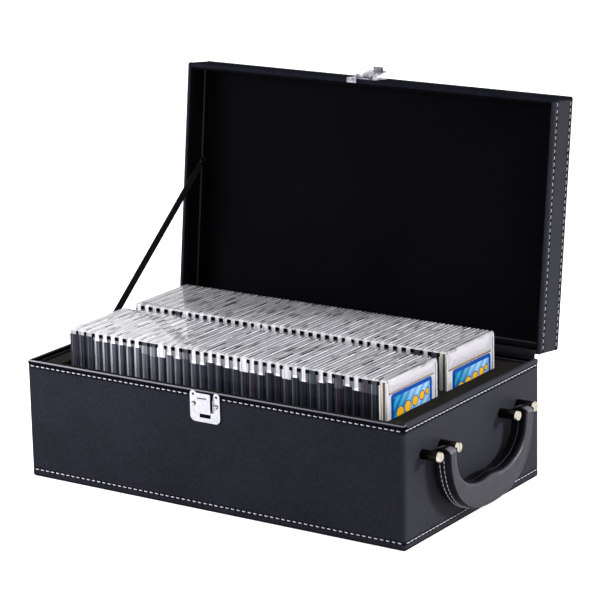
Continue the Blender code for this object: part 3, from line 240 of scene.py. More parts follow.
def hide_with_painted_light(mat, emboss, crease, share, tones, dull_at, shine, relief):
    """Hide with its relief the sum of an embossed pebble and creases, and its tone going from tones[0] to tones[1]
    by share. Its painted light attribute gives a painted highlight of tones[2] at 1 and painted shade in black at -1,
    and the shine falls as it nears dull_at."""
    where = add(mat, "TexCoord").outputs["Object"]
    pebble = add(mat, "TexVoronoi", {"Vector": where, "Scale": 1 / emboss}, feature="SMOOTH_F1")
    height = add(mat, "Math", (pebble, crease), operation="ADD")
    painted_light = add(mat, "Attribute", attribute_name="painted_light").outputs["Fac"]
    tone = add(mat, "Mix", {"Factor": share, "A": tones[0], "B": tones[1]})
    tone = add(mat, "Mix", {"Factor": painted_light, "A": tone, "B": tones[2]})
    fold = add(mat, "Math", (painted_light, -1.0), operation="MULTIPLY")
    tone = add(mat, "Mix", {"Factor": fold, "A": tone, "B": "#020203"})
    ramp = {"Value": painted_light, "From Min": dull_at, "From Max": 0.0, "To Min": shine[0], "To Max": shine[1]}
    bump = add(mat, "Bump", {"Height": height, "Strength": relief[0], "Distance": relief[1]})
    add(mat, "", {"Base Color": tone, "Specular IOR Level": add(mat, "MapRange", ramp), "Normal": bump})
    return painted_light


# leatherette: embossed pebble of about 1 mm, creases drawn 3 mm apart so that they show, and a slow drift of tone;
# its painted light attribute is 1 for a painted highlight and -1 for painted shade, black where no light reaches
leatherette = substance("leatherette", "#181820", 0.46, Specular_IOR_Level=0.05)
where = add(leatherette, "TexCoord").outputs["Object"]
crease = add(leatherette, "TexNoise", {"Vector": where, "Scale": 1 / 0.0030, "Detail": 5.0, "Roughness": 0.7})
drift = add(leatherette, "TexNoise", {"Vector": where, "Scale": 1 / 0.06, "Detail": 6.0, "Roughness": 0.65})
grain = add(leatherette, "MapRange", {"Value": crease, "From Min": 0.3, "From Max": 0.7, "To Min": -0.3, "To Max": 0.3})
mottle = add(leatherette, "Math", (drift, grain), operation="ADD")
tones = ("#0F0F16", "#21212B", "#8F8F98")
painted_light = hide_with_painted_light(leatherette, 0.0010, crease, mottle, tones, -0.2, (0.0, 0.05), (0.4, 0.0003))
gloss = add(leatherette, "MapRange", {"Value": drift, "To Min": 0.40, "To Max": 0.54})
smooth = add(leatherette, "MapRange", {"Value": painted_light, "To Min": 0.0, "To Max": 0.14})
add(leatherette, "", {"Roughness": add(leatherette, "Math", (gloss, smooth), operation="SUBTRACT")})

half_long, half_deep, wrap_radius, stitch_pitch = 200, 115, 1.8, 5.9
foot_row, rim_row = 6.5, 105.2
# columns: inset from the wall's face, height, and painted light, highlight above 0 and shade below, on the front and on
# the handle's side
wrap_profile = np.array([
    (3.6, 0.0, -1, -1), (0.9, 0.0, -1, -1), (0.35, 0.3, -.8, -.8), (0.05, 0.9, -.3, -.3), (-0.1, 2.4, 0, 0),
    (-0.1, 4.6, 0, 0), (0.15, 5.8, -.3, -.3), (0.32, 6.5, -.7, -.7), (0.15, 7.2, -.4, -.4), (0.0, 8.6, 0, 0),
    (0.0, 12, 0, 0), (0.0, 30, 0, 0), (0.0, 55, 0, 0), (0.0, 80, 0, 0), (0.0, 99, 0, 0), (0.0, 102.2, 0, 0),
    (0.1, 104.2, -.35, -.2), (0.38, 105.2, -.7, -.5), (0.1, 106.1, -.7, -.4), (-0.25, 107.1, -.75, .06),
    (-0.4, 108.2, -.7, .08), (-0.3, 109.0, -.3, .08), (-0.1, 109.5, .75, .08), (0.2, 109.95, 1, .1),
    (0.9, 110.15, .55, .1), (1.5, 110.2, -.3, .1), (2.4, 110.2, -.55, .08), (3.3, 110.05, -.6, .02),
    (3.9, 109.6, -.9, -.9), (4.15, 108.8, -1, -1), (4.2, 107, -1, -1), (4.2, 96, -1, -1), (3.6, 96, -1, -1),
    (3.6, 108.4, -1, -1), (3.0, 109.3, -1, -1), (1.2, 109.4, -1, -1), (0.8, 108.6, -1, -1), (0.8, 1.0, -1, -1),
    (3.6, 0.5, -1, -1),
])  # fmt: skip
grid = puckered(wrap_profile, (foot_row, rim_row))
# under the latch and the tab of the hasp the bead is pressed flat
grid[..., 1] = np.maximum(grid[..., 1], -half_deep - 0.5 * np.clip((np.abs(grid[..., 0] + 2) - 18) / 4, 0, 1))
base_wrap = surface("base_wrap_leather", grid, quads(*grid.shape[:2], wrap_rows=True), [leatherette])
# painted light: the front's column on the front, the side's elsewhere, raised on the handle's side, and the front's
# painted highlight fading towards the right
on_front = np.clip((-grid[..., 1] - 109) / 2, 0, 1)
rubbed = paint_handle_side_light(on_front * wrap_profile[:, 2:3] + (1 - on_front) * wrap_profile[:, 3:4], grid, 0.062)
mark(base_wrap, "painted_light", np.where(rubbed > 0, rubbed * (1 - 0.45 * on_front * (grid[..., 0] + 200) / 400), rubbed))
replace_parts(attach(base_wrap, "base"), "base_wrap")


# ---------------------------------------------------------------- Base stitching
# Pale waxed thread, one row under the rim and one above the bottom edge on every side.
# Each stitch is a short length of thread that rises out of its hole and goes down again.
def stitches(name, middles, along, out, body, length=3.9, thick=0.5, tilt=0.0):
    """One bead of thread for each row of middles: radius thick * (1 - 0.94 t^4)^0.5 at t from -1 to 1, four fifths of
    that outwards, lifted 0.3 * (1 - 2 t^2). It leans across its row by tilt."""
    t = np.array([-1, -0.85, -0.45, 0, 0.45, 0.85, 1.0])
    a = np.radians(np.arange(6) * 60 + 30)
    r = thick * np.sqrt(1 - 0.94 * t**4)
    across = np.cross(along, out)
    length = np.broadcast_to(length, len(middles))[:, None]
    lift = r[:, None] * np.sin(a) * 0.8 + (0.3 * (1 - 2 * t**2))[:, None]
    local = np.stack([np.repeat((t / 2)[:, None], 6, 1), r[:, None] * np.cos(a), lift], -1)
    base = np.stack([(along + across * tilt) * length, across, out], 1)
    points = middles[:, None, None, :] + np.einsum("tai,kij->ktaj", local, base)
    cells = quads(7, 6)[None] + (np.arange(len(middles)) * 42)[:, None, None]
    made = surface(name, points, cells.reshape(-1, 4), [thread])
    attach(made, body)


def sewn_loop(height, skip=None):
    """Middles, directions and outward normals of the stitches on the four sides at one height, one pitch apart and
    0.1 deep. skip is (the side's y direction, first x, last x) of a gap."""
    found = []
    for nx, ny in ((0, -1), (1, 0), (0, 1), (-1, 0)):
        reach, half = (half_long, half_deep) if nx else (half_deep, half_long)
        count = int((2 * half - 4) / stitch_pitch)
        s = (np.arange(count) - (count - 1) / 2) * stitch_pitch
        if skip and ny == skip[0]:
            s = s[(s < skip[1]) | (s > skip[2])]
        out = np.array([nx, ny, 0.0])
        along = np.array([-ny, nx, 0.0])
        spots = out * (reach - 0.1) + s[:, None] * along + np.array([0, 0, height])
        found.append((spots, np.tile(along, (len(s), 1)), np.tile(out, (len(s), 1))))
    return [np.vstack(x) for x in zip(*found)]


def grained(mat, size, dark, light, relief=None, spread=None, **noise):
    """Tone from dark to light by noise of one size in metres, between two of its values where spread gives them, and
    relief (strength, metres) of the same noise. Gives back the coordinates and the noise."""
    where = add(mat, "TexCoord").outputs["Object"]
    grain = add(mat, "TexNoise", {"Vector": where, "Scale": 1 / size, **noise})
    share = grain
    if spread:
        share = add(mat, "MapRange", {"Value": grain, "From Min": spread[0], "From Max": spread[1]})
    add(mat, "", {"Base Color": add(mat, "Mix", {"Factor": share, "A": dark, "B": light})})
    if relief:
        add(mat, "", {"Normal": add(mat, "Bump", {"Height": grain, "Strength": relief[0], "Distance": relief[1]})})
    return where, grain


# waxed_thread: grey-white, with the two plies' twist as fine slanted ridges
thread = substance("waxed_thread", "#D2D2D6", 0.6, Specular_IOR_Level=0.3)
where, _ = grained(thread, 0.003, "#9E9EA6", "#CDCDD3", Detail=3.0)
ply = add(thread, "TexWave", {"Vector": where, "Scale": 1 / 0.004, "Distortion": 0.5}, bands_direction="DIAGONAL")
add(thread, "", {"Normal": add(thread, "Bump", {"Height": ply.outputs["Fac"], "Strength": 0.5, "Distance": 0.00008})})
latch_side = (-1, -18.6, 14.6)
# the rows on the handle's side have longer stitches
for name, height, gap in (("base_rim_stitches", rim_row, latch_side), ("base_foot_stitches", foot_row, None)):
    spots, along, out = sewn_loop(height, gap)
    stitches(name, spots, along, out, "base", length=np.where(out[:, 0] > 0.5, 5.6, 3.9), tilt=0.05)

# ---------------------------------------------------------------- Boards and bottom sheet
# The box itself: panels of grey board, glued at their edges and covered by the leatherette. A sheet of the
# leatherette is glued under the floor.
# grey_board: pulp fibres a few millimetres long
board = substance("grey_board", "#8E8A84", 0.85)
grained(board, 0.003, "#7C7872", "#9C9891", (0.3, 0.0002), Detail=6.0)


def repaint(mat, *names):
    """Gives CAD nodes that stay a better material."""
    for name in names:
        cad[name].data.materials.clear()
        cad[name].data.materials.append(mat)


repaint(board, "floor_board", "front_board", "back_board", "left_board", "right_board")
repaint(board, "lid_top_board", "lid_front_board", "lid_back_board", "lid_left_board", "lid_right_board")
repaint(leatherette, "bottom_sheet")

# ---------------------------------------------------------------- Lining collar
# A strip of card covered in black felt and glued round the inside of the walls, just below the rim. The felt is
# turned over its upper edge.
# black_felt: matted black fibre, dull, with lint-sized specks
felt = substance("black_felt", "#0A0A0C", 0.95, Specular_IOR_Level=0.02, Sheen_Weight=0.02, Sheen_Roughness=0.5)
grained(felt, 0.0012, "#131317", "#28282E", (0.6, 0.0004), Detail=8.0, Roughness=0.7)
collar_profile = [
    (4.5, 5.0), (4.5, 60), (4.5, 106.4), (4.8, 107.1), (5.4, 107.3), (6.2, 107.3), (6.8, 107.6), (7.1, 108.2),
    (7.4, 108.3), (7.7, 107.9), (7.8, 107.3), (7.8, 60), (7.8, 5.0),
]  # fmt: skip
grid = carried(collar_profile, half_long, half_deep, 8.0, 6.0)
# the turned felt edge: the same felt, painted paler where it turns over the card's edge, as a highlight on its lit top
felt_edge_highlight = substance("felt_edge_highlight", "#3A3A3D", 0.8, Specular_IOR_Level=0.15)
grained(felt_edge_highlight, 0.0025, "#1C1C1F", "#3C3C41", Detail=6.0)
highlight_edge = np.repeat(np.isin(np.arange(13), (6, 7, 8, 9)), grid.shape[1])
collar = surface("collar_felt", grid, quads(*grid.shape[:2], wrap_rows=True), [felt, felt_edge_highlight], highlight_edge)
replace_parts(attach(collar, "base"), "lining_collar")

# ---------------------------------------------------------------- Foam insert and floor felt
# One block of black foam with a well cut through it for each row, so its edges are slightly eased.
# The slabs stand on a felt sheet at the bottom of the wells.
foam_top, foam_foot, foam_ease = 106.3, 4.9, 1.6
half_foam, foam_y, wells_x, wells_y = 192, (-107, 107), 173.277, ((-98.0, -14.2), (0.2, 84.0))


def eased(edges, low, high):
    """Grid lines from low to high: steps of 4 between, and a cluster of them at each edge, where the surface turns."""
    near = np.array([foam_ease, 0.8 * foam_ease, 0.5 * foam_ease, 0.22 * foam_ease, 0, -0.05])
    lines = [np.arange(low, high, 4.0), [low, high], *(edge + sign * near for edge in edges for sign in (-1, 1))]
    return np.unique(np.round(np.clip(np.concatenate(lines), low, high), 3))


xs = eased((-half_foam, -wells_x, wells_x, half_foam), -half_foam, half_foam)
ys = eased((foam_y[0], *wells_y[0], *wells_y[1], foam_y[1]), *foam_y)
gx, gy = np.meshgrid(xs, ys, indexing="ij")


def depth_in(x, y, half, y0, y1):
    """How far a point lies inside a rectangle, negative outside it."""
    return np.minimum(half - np.abs(x), np.minimum(y - y0, y1 - y))


well = np.maximum(depth_in(gx, gy, wells_x, *wells_y[0]), depth_in(gx, gy, wells_x, *wells_y[1]))
edge = np.minimum(depth_in(gx, gy, half_foam, *foam_y), -well)
rounding = foam_ease - np.sqrt(np.maximum(0, foam_ease**2 - np.clip(foam_ease - edge, 0, foam_ease) ** 2))
rng = np.random.default_rng(7)
draws = [rng.uniform(low, high, 6) for low, high in ((0.02, 0.3), (0.02, 0.3), (0, 6), (0, 6))]
wave = sum(np.sin(gx * a + p) * np.sin(gy * b + q) for a, b, p, q in zip(*draws))
gz = np.where(well > 0.02, foam_foot, foam_top - rounding + 0.08 * wave)
top = np.stack([gx, gy, gz], -1)


def border(grid):
    """The points round a grid's edge, in order."""
    return np.concatenate([grid[:-1, 0], grid[-1, :-1], grid[:0:-1, -1], grid[0, :0:-1]])


rim = border(top)
low = rim * (1, 1, 0) + (0, 0, foam_foot)
skirt = np.stack([rim, low])
n = top.shape[0] * top.shape[1]
# black_foam: closed-cell, so a fine pitted skin, with a few larger pits
foam = substance("black_foam", "#0E0E10", 0.9, Specular_IOR_Level=0.02)
where, blotch = grained(foam, 0.006, "#121211", "#2E2C29", Detail=8.0, Roughness=0.7)
pits = add(foam, "TexVoronoi", {"Vector": where, "Scale": 1 / 0.0013}, feature="F1")
height = add(foam, "Math", (pits, blotch), operation="ADD")
add(foam, "", {"Normal": add(foam, "Bump", {"Height": height, "Strength": 0.8, "Distance": 0.0004})})
points = np.vstack([top.reshape(-1, 3), skirt.reshape(-1, 3)])
cells = np.vstack([quads(*top.shape[:2], wrap_columns=False), quads(2, len(rim), start=n)])
insert = surface("foam_block", points, cells, [foam], sharp=50)
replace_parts(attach(insert, "base"), "foam_insert")
gx, gy = np.meshgrid(np.linspace(-196.5, 196.5, 80), np.linspace(-111.5, 111.5, 46), indexing="ij")
lift = 0.04 * np.sin(gx * 0.11) * np.cos(gy * 0.13)
upper, under = np.stack([gx, gy, 4.25 + lift], -1), np.stack([gx, gy, 3.55 + lift], -1)
edge_rows = np.stack([border(upper), border(under)])
n = upper.shape[0] * upper.shape[1]
points = np.vstack([side.reshape(-1, 3) for side in (upper, under, edge_rows)])
cells = [quads(*upper.shape[:2], wrap_columns=False, start=start) for start in (0, n)]
cells = np.vstack([*cells, quads(2, edge_rows.shape[1], start=2 * n)])
floor_felt = surface("floor_felt_sheet", points, cells, [felt])
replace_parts(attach(floor_felt, "base"), "floor_felt")

# ---------------------------------------------------------------- Slab rows
# Clear acrylic holders for graded cards, 83 x 136 x 6.4 mm, on edge in two rows, injection moulded in two halves.
# Rails round both faces touch the next holder's, but stop short under the top corners. A groove runs down each
# thin edge: the label's white end shows in its top, and the card and the dark well behind it below.
spacing, slab_count, slab_thick, slab_tall, slab_top, end_face = 8.886, 37, 6.4, 136, 140.6, 172.577
rise = np.array([0, 60, 105, 113, 125, 127.3, 131.2, 131.35, 133.0])
turn = np.radians([22, 33, 36, 60])
side = np.c_[np.full(9, 41.5), rise, np.ones(9), np.zeros(9)]
corner = np.c_[38.5 + 3 * np.cos(turn), 133 + 3 * np.sin(turn), np.cos(turn), np.sin(turn)]
roof = np.array([[y, slab_tall, 0, 1] for y in (38.5, 31, 22, 9, -9, -22, -31, -38.5)])
mirror = np.array([-1, 1, -1, 1])
outline = np.vstack([side, corner, roof, (corner * mirror)[::-1], (side * mirror)[::-1]])
rail = np.repeat([1, 0, 1, 0, 1], [7, 4, 12, 4, 7])
# columns: distance from the slab's middle, inset from its outline, and whether the rail stands there
half_profile = np.array([
    (2.65, 2.9, 0), (3.1, 2.7, 0), (3.2, 2.5, 1), (3.2, 0.45, 1), (3.15, 0.35, 0), (3.05, 0.12, 0), (2.85, 0, 0),
    (2.15, 0, 0), (2.05, 0.35, 0), (1.6, 0.35, 0), (0.6, 0.35, 0),
])  # fmt: skip
profile = np.vstack([half_profile * (-1, 1, 1), half_profile[::-1]])
rows_n, cols_n = len(profile), len(outline)
# which part each strip between two rows is: 0 inner side, 1 rail, 2 land, 3 the groove's near edge, 4 groove
strip = np.array([0, 0, 0, 1, 1, 2, 2, 3, 3, 4, 4, 4, 4, 2, 2, 2, 1, 1, 0, 0, 0])
# which zone each step along the outline is: 0 low, 1 the label's foot, with a painted highlight, 2 label, 3 open
# corner,
# 4 top line, a painted highlight along the top edge, 5 roof
zone = np.array([0, 0, 0, 0, 1, 2, 3, 3, 3, 3, 4, 4, 4])
zone = np.r_[zone, np.full(7, 5), zone[::-1]]
# how light the plastic stands out against the dark well across a thin face, from its lit left land to its right one
across_face = np.zeros(len(strip))
across_face[5:16] = (0.28, 0.36, 0.36, 0.34, 0.11, 0.08, 0.1, 0.055, 0.04, 0.06, 0.04)
# brightness of (part, zone) on a slab with its label's end in view, with painted highlights on the label's foot and the
# top line
lit = np.array([
    (0.004, 0.01, 0.012, 0.003, 0.20, 0.14), (0.015, 0.15, 0.17, 0.003, 0.40, 0.42),
    (0.030, 0.22, 0.20, 0.02, 0.45, 0.62), (0.30, 0.95, 0.60, 0.58, 0.55, 0.85), (0.04, 0.97, 0.57, 0.55, 0.50, 0.44),
])  # fmt: skip


def slabs(name, middle_y, lefts, kinds, rng, proud=(1.12, 1.12)):
    """Holders at each left face x: outline - inset * normal for each row of the profile, and rails proud where rail
    is 1. kinds picks, slab by slab, a label end (0), none (1), a wide one (2), a short one (3), a dark slab (4) or
    the end slab (5)."""
    count = len(lefts)
    heights = np.repeat(outline[None, :, 1], count, 0)
    foot = np.where(kinds == 3, 128.4, rng.uniform(122.6, 126.6, count))
    for column, above in ((4, 0), (5, 2.1)):
        heights[:, [column, cols_n - 1 - column]] = (foot + above)[:, None]
    y = outline[None, None, :, 0] - profile[None, :, 1, None] * outline[None, None, :, 2]
    z = heights[:, None, :] - profile[None, :, 1, None] * outline[None, None, :, 3] + slab_top - slab_tall
    out = np.where(profile[:, 0] < 0, -proud[0], proud[1]) * profile[:, 2]
    x = (profile[:, 0, None] + out[:, None] * rail)[None] + (lefts + slab_thick / 2)[:, None, None]
    points = np.stack(np.broadcast_arrays(x, y + middle_y, np.maximum(z, 4.75)), -1)
    cells = quads(rows_n, cols_n, wrap_columns=False)
    step = rows_n * cols_n
    faces = (cells[None] + (np.arange(count) * step)[:, None, None]).reshape(-1, 4)
    ends = [np.arange(count)[:, None] * step + first + np.arange(cols_n) for first in (0, (rows_n - 1) * cols_n)]
    # brightness: the table, then each slab's own kind, then chance
    k = kinds[:, None, None]
    part, area, row = strip[None, :, None], zone[None, None, :], np.arange(len(strip))[None, :, None]
    value = np.repeat(lit[strip][:, zone][None], count, 0)
    low = np.isin(area, (0, 1, 2)) & ((k == 1) | (k == 4) | (area == 0))
    own = rng.uniform(0, 1, (count, len(strip), 1))
    once = rng.uniform(0, 1, (count, 1, 1))
    # painted light: slabs are painted lighter towards the row's left end, where the light falls, and darker to the
    # right
    light_falloff = np.interp(lefts, (-165, -70, -15, 170), (1.0, 0.9, 0.25, 0.15))[:, None, None] * (0.55 + 0.6 * once)
    light_falloff = np.where((row == 7) & (once > 0.3), 0.75, light_falloff)
    value = np.where(low & (part > 1), across_face[None, :, None] * light_falloff * (0.6 + 0.7 * own), value)
    value = np.where(low & (part == 1), 0.006 + 0.02 * own, value)
    value = np.where((k == 1) & np.isin(area, (1, 2)) & (part > 0), value * 1.8 + 0.03, value)
    value = np.where(((k == 1) | (k == 4)) & (area == 3) & (part > 1), 0.05, value)
    value = np.where((k == 2) & np.isin(area, (1, 2, 3)) & (part > 0), 0.62, value)
    value = np.where((k == 3) & (area == 0) & (part == 3), 0.72, value)
    value = np.where((k == 4) & low & (part > 1), 0.008 + 0.05 * own + 0.1 * (part == 3), value)
    value = np.where((k == 4) & (area == 3) & (part > 1) & (lefts < 0)[:, None, None], 0.3, value)
    # painted shade: a few dark spots on the tops' right halves, for the gaps between slabs
    gap = (area == 5) & (part < 2) & (row > 10)
    value = np.where(gap & (rng.uniform(0, 1, (count, 1, len(zone))) < 0.1), 0.06, value)
    value = np.where((area == 5) & (part > 1), value * (0.74 + 0.28 * own), value)
    wall = (k == 5) & (area < 4)
    value = np.where(wall, np.where(part == 4, 0.075, 0.55), value)
    value = np.where(wall & (row == 9), 0.6, value)
    value = np.where((k == 5) & (area == 5), np.where(part < 2, 0.5, 0.42), value)
    # the large faces: pale on the end slab, and a painted highlight on the first one of a row, which catches the light
    face = np.where(kinds == 5, 0.52, 0.01)
    face[0] = max(face[0], 0.2)
    # light plastic reads cool and dark plastic navy, and some grooves on the right half are tinted
    cool = np.array([0.97, 0.97, 1.03])
    navy = np.array([0.85, 0.9, 1.35])
    share = np.clip(value * 5, 0, 1)[..., None]
    colour = value[..., None] * (share * cool + (1 - share) * navy)
    colour = np.where((wall & (part == 4))[..., None], value[..., None] * np.array([1.15, 0.95, 0.75]), colour)
    tinted = (low & (part == 4) & (k != 5))[..., None] & (lefts > 0)[:, None, None, None]
    hues = np.array([(0.85, 1.25, 0.95), (1.35, 0.92, 0.88), (1, 1, 1)])[rng.integers(0, 3, count)]
    colour = np.where(tinted, colour * hues[:, None, None, :], colour)
    every = np.vstack([colour.reshape(-1, 3), np.tile(face[:, None] * cool, (2, 1))])
    every = np.c_[every, np.ones(len(every))]
    which = np.r_[np.tile(zone < 4, len(strip) * count), np.ones(2 * count, bool)]
    faces = [*faces.tolist(), *np.vstack(ends).tolist()]
    made = surface(name, points, faces, [acrylic_top, acrylic_edge], which, sharp=30)
    made.data.attributes.new("print", "FLOAT_COLOR", "CORNER")
    corners = np.zeros(len(made.data.polygons), np.int32)
    made.data.polygons.foreach_get("loop_total", corners)
    made.data.attributes["print"].data.foreach_set("color", np.repeat(every, corners, 0).astype(np.float32).ravel())
    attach(made, "base")
    return made


def plastic(name, least, most, deep, **sockets):
    """Clear plastic: what lies behind it as its tone (print), with fine streaks along its length from moulding and
    handling, painted shade of longer gaps, as dark as deep, and a skin whose roughness runs from least to most."""
    made = substance(name, "#B0B2B8", least, **sockets)
    where = add(made, "TexCoord").outputs["Object"]
    within = add(made, "Attribute", attribute_name="print").outputs["Color"]
    drawn = add(made, "Mapping", {"Vector": where, "Scale": (1 / 0.0016, 1 / 0.035, 1 / 0.03)})
    streak = add(made, "TexNoise", {"Vector": drawn, "Scale": 1.0, "Detail": 4.0, "Roughness": 0.7})
    dark = {"Value": streak, "From Min": 0.3, "From Max": 0.7, "To Min": 0.6, "To Max": 1.35}
    gap_shade = add(made, "Mapping", {"Vector": where, "Scale": (1 / 0.0042, 1 / 0.024, 1 / 0.05)})
    gap_shade = add(made, "TexNoise", {"Vector": gap_shade, "Scale": 1.0, "Detail": 1.5, "Distortion": 0.4})
    gap_shade = add(made, "MapRange", {"Value": gap_shade, "From Min": 0.56, "From Max": 0.66, "To Min": 1.0, "To Max": deep})
    both = add(made, "Math", (add(made, "MapRange", dark), gap_shade), operation="MULTIPLY")
    tone = add(made, "VectorMath", (within, both), operation="MULTIPLY")
    scuff = add(made, "TexNoise", {"Vector": where, "Scale": 1 / 0.015, "Detail": 5.0, "Distortion": 1.5})
    dull = {"Value": scuff, "From Min": 0.35, "From Max": 0.7, "To Min": least, "To Max": most}
    add(made, "", {"Base Color": tone, "Roughness": add(made, "MapRange", dull)})
    return made


# acrylic_top mirrors the tent or the lid at a flat angle; acrylic_edge is seen square on and shows its depth
acrylic_top = plastic("acrylic_top", 0.02, 0.07, 0.45, IOR=1.62, Coat_Weight=1.0, Coat_Roughness=0.02)
acrylic_edge = plastic("acrylic_edge", 0.1, 0.25, 1.0, Specular_IOR_Level=0.03)
rng = np.random.default_rng(11)
row_y = {"front": -56.1, "back": 42.1}
for row_name, middle_y in row_y.items():
    lefts = end_face - slab_thick - spacing * np.arange(slab_count, 0, -1)
    chance = rng.uniform(0, 1, slab_count)
    kinds = np.where(chance < 0.15, 1, np.where(chance < 0.27, 2, 0))
    # at the left of the front row: dark slabs, then short labels, then none
    if row_name == "front":
        kinds[:12] = (4, 4, 4, 3, 3, 3, 3, 3, 3, 1, 1, 2)
    kinds[-1] = 1 if row_name == "front" else 4
    made = slabs("slabs_" + row_name, middle_y, lefts, kinds, rng)
    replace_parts(made, "slab_row_" + row_name)

# ---------------------------------------------------------------- End slabs, cards and labels
# The last slab of each row shows its face at the handle end: a clear frame, a pale printed label across the
# top and the card in its window, blue and yellow, in a plain design of bands and discs.
# card_print: a blue border round wavy bands from deep blue to pale, with yellow discs; UV is millimetres from
# the card's top middle, across and down
card = substance("card_print", "#0050B4", 0.4, Specular_IOR_Level=0.06)
spot = add(card, "UVMap").outputs["UV"]
parts = add(card, "SeparateXYZ", {"Vector": spot})
swirl = {"Vector": spot, "Scale": 0.055, "Distortion": 5.0, "Detail": 1.0, "Detail Scale": 0.06}
swirl = add(card, "TexWave", swirl, bands_direction="DIAGONAL").outputs["Fac"]
deep = add(card, "Mix", {"Factor": swirl, "A": "#005C9E", "B": "#2F96B6"})
pale = add(card, "Mix", {"Factor": swirl, "A": "#5E96C8", "B": "#96BCDC"})
across = add(card, "MapRange", {"Value": parts.outputs["X"], "From Min": -16.0, "From Max": 6.0})
inner = add(card, "Mix", {"Factor": across, "A": deep, "B": pale})
side_gap = add(card, "Math", (parts.outputs["X"],), operation="ABSOLUTE")
side_in = add(card, "Math", (side_gap, 29.3), operation="LESS_THAN")
top_in = add(card, "Math", (parts.outputs["Y"], 3.6), operation="GREATER_THAN")
inside = add(card, "Math", (side_in, top_in), operation="MULTIPLY")
picture = add(card, "Mix", {"Factor": inside, "A": "#004092", "B": inner})
for x, y, radius in ((-19, 19.6, 5.4), (-6.5, 17.2, 4.8), (5.5, 15.2, 4.2), (16.5, 13.4, 3.7), (25, 11.8, 2.6)):
    far = add(card, "VectorMath", (spot, (x, y, 0)), operation="DISTANCE")
    for size, colour in ((radius + 0.8, "#0B3470"), (radius, "#E2A816")):
        disc = add(card, "Math", (far, size), operation="LESS_THAN")
        picture = add(card, "Mix", {"Factor": disc, "A": picture, "B": colour})
add(card, "", {"Base Color": picture})
# label_paper: pale grey paper, faintly rubbed, with a tan line along its foot and dark corners
label = substance("label_paper", "#D6D2D8", 0.4, Coat_Weight=0.3, Coat_Roughness=0.1)
spot = add(label, "UVMap").outputs["UV"]
parts = add(label, "SeparateXYZ", {"Vector": spot})
rubbing = add(label, "TexNoise", {"Vector": spot, "Scale": 0.4, "Detail": 6.0, "Roughness": 0.7})
tone = add(label, "Mix", {"Factor": rubbing, "A": "#A49FA8", "B": "#D4D1D8"})
below = add(label, "Math", (parts.outputs["Y"], 9.9), operation="GREATER_THAN")
tone = add(label, "Mix", {"Factor": below, "A": tone, "B": "#9A8066"})
wide = add(label, "Math", (parts.outputs["X"],), operation="ABSOLUTE")
outer = add(label, "Math", (wide, 35.4), operation="GREATER_THAN")
foot = add(label, "Math", (outer, below), operation="MULTIPLY")
tone = add(label, "Mix", {"Factor": foot, "A": tone, "B": "#2A2620"})
add(label, "", {"Base Color": tone})


def unwrap(made, flat):
    """Gives each corner of each face the UV of its point: flat is (n, 2)."""
    layer = made.data.uv_layers.new(name="UVMap")
    index = np.zeros(len(made.data.loops), np.int32)
    made.data.loops.foreach_get("vertex_index", index)
    layer.data.foreach_set("uv", flat[index].astype(np.float32).ravel())


def plate(name, middle_y, top, width, tall, face_x, thick, radius, mat, drawn_tall=None):
    """A thin card: rounded rectangles in the YZ plane, each a row, from its back over its eased edge to a closed face.
    drawn_tall is the height that its drawing is made for."""
    rows = [(0.15, 0), (0, 0.12), (0, thick - 0.12), (0.15, thick), (min(width, tall) / 2 - 0.3, thick)]
    across, up, depth = np.moveaxis(carried(rows, width / 2, tall / 2, radius, 8.0, 4), -1, 0)
    points = np.stack([face_x - thick + depth, across + middle_y, up + top - tall / 2], -1)
    made = surface(name, points, quads(*points.shape[:2]), [mat], sharp=40)
    flat = points.reshape(-1, 3)
    unwrap(made, np.c_[flat[:, 1] - middle_y, (top - flat[:, 2]) * (drawn_tall or tall) / tall])
    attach(made, "base")
    return made


card_wide, card_tall, label_wide, label_top, label_design = 66.0, 88.9, 73, 138.2, 11.2
for row_name, card_y, card_top in (("front", -56.1, 126.6), ("back", 45.0, 121.6)):
    name, middle_y = "end_slab_" + row_name, row_y[row_name]
    made = slabs(name + "_acrylic", middle_y, np.array([end_face - slab_thick]), np.array([5]), rng, (1.12, 0.3))
    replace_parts(made, name)
    made = plate("card_" + row_name, card_y, card_top, card_wide, card_tall, end_face - 0.3, 0.5, 3, card)
    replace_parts(made, "end_card_" + row_name)
    name, tall = "label_" + row_name, 137.8 - card_top
    made = plate(name, middle_y, label_top, label_wide, tall, end_face - 0.35, 0.4, 0.6, label, label_design)
    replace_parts(made, "end_label_" + row_name)

# ---------------------------------------------------------------- Latch plate
# Pressed steel, nickel plated and polished, held by two domed rivets. The raised tongue is rolled over at its top,
# with a painted shade line under the curl. The wall behind the slot is cut away for the lever's lip, and black pads
# of painted shade lie in the slot, behind the ears' holes and behind the tongue.
# polished_nickel: bright, faintly wavy from polishing, a little duller where it is rubbed
nickel = substance("polished_nickel", "#B0B0B8", 0.14, Metallic=1.0)
where = add(nickel, "TexCoord").outputs["Object"]
waves = add(nickel, "TexNoise", {"Vector": where, "Scale": 1 / 0.012, "Detail": 4.0})
rubbed = add(nickel, "MapRange", {"Value": waves, "To Min": 0.05, "To Max": 0.24})
bump = add(nickel, "Bump", {"Height": waves, "Strength": 0.35, "Distance": 0.001})
add(nickel, "", {"Roughness": rubbed, "Normal": bump})
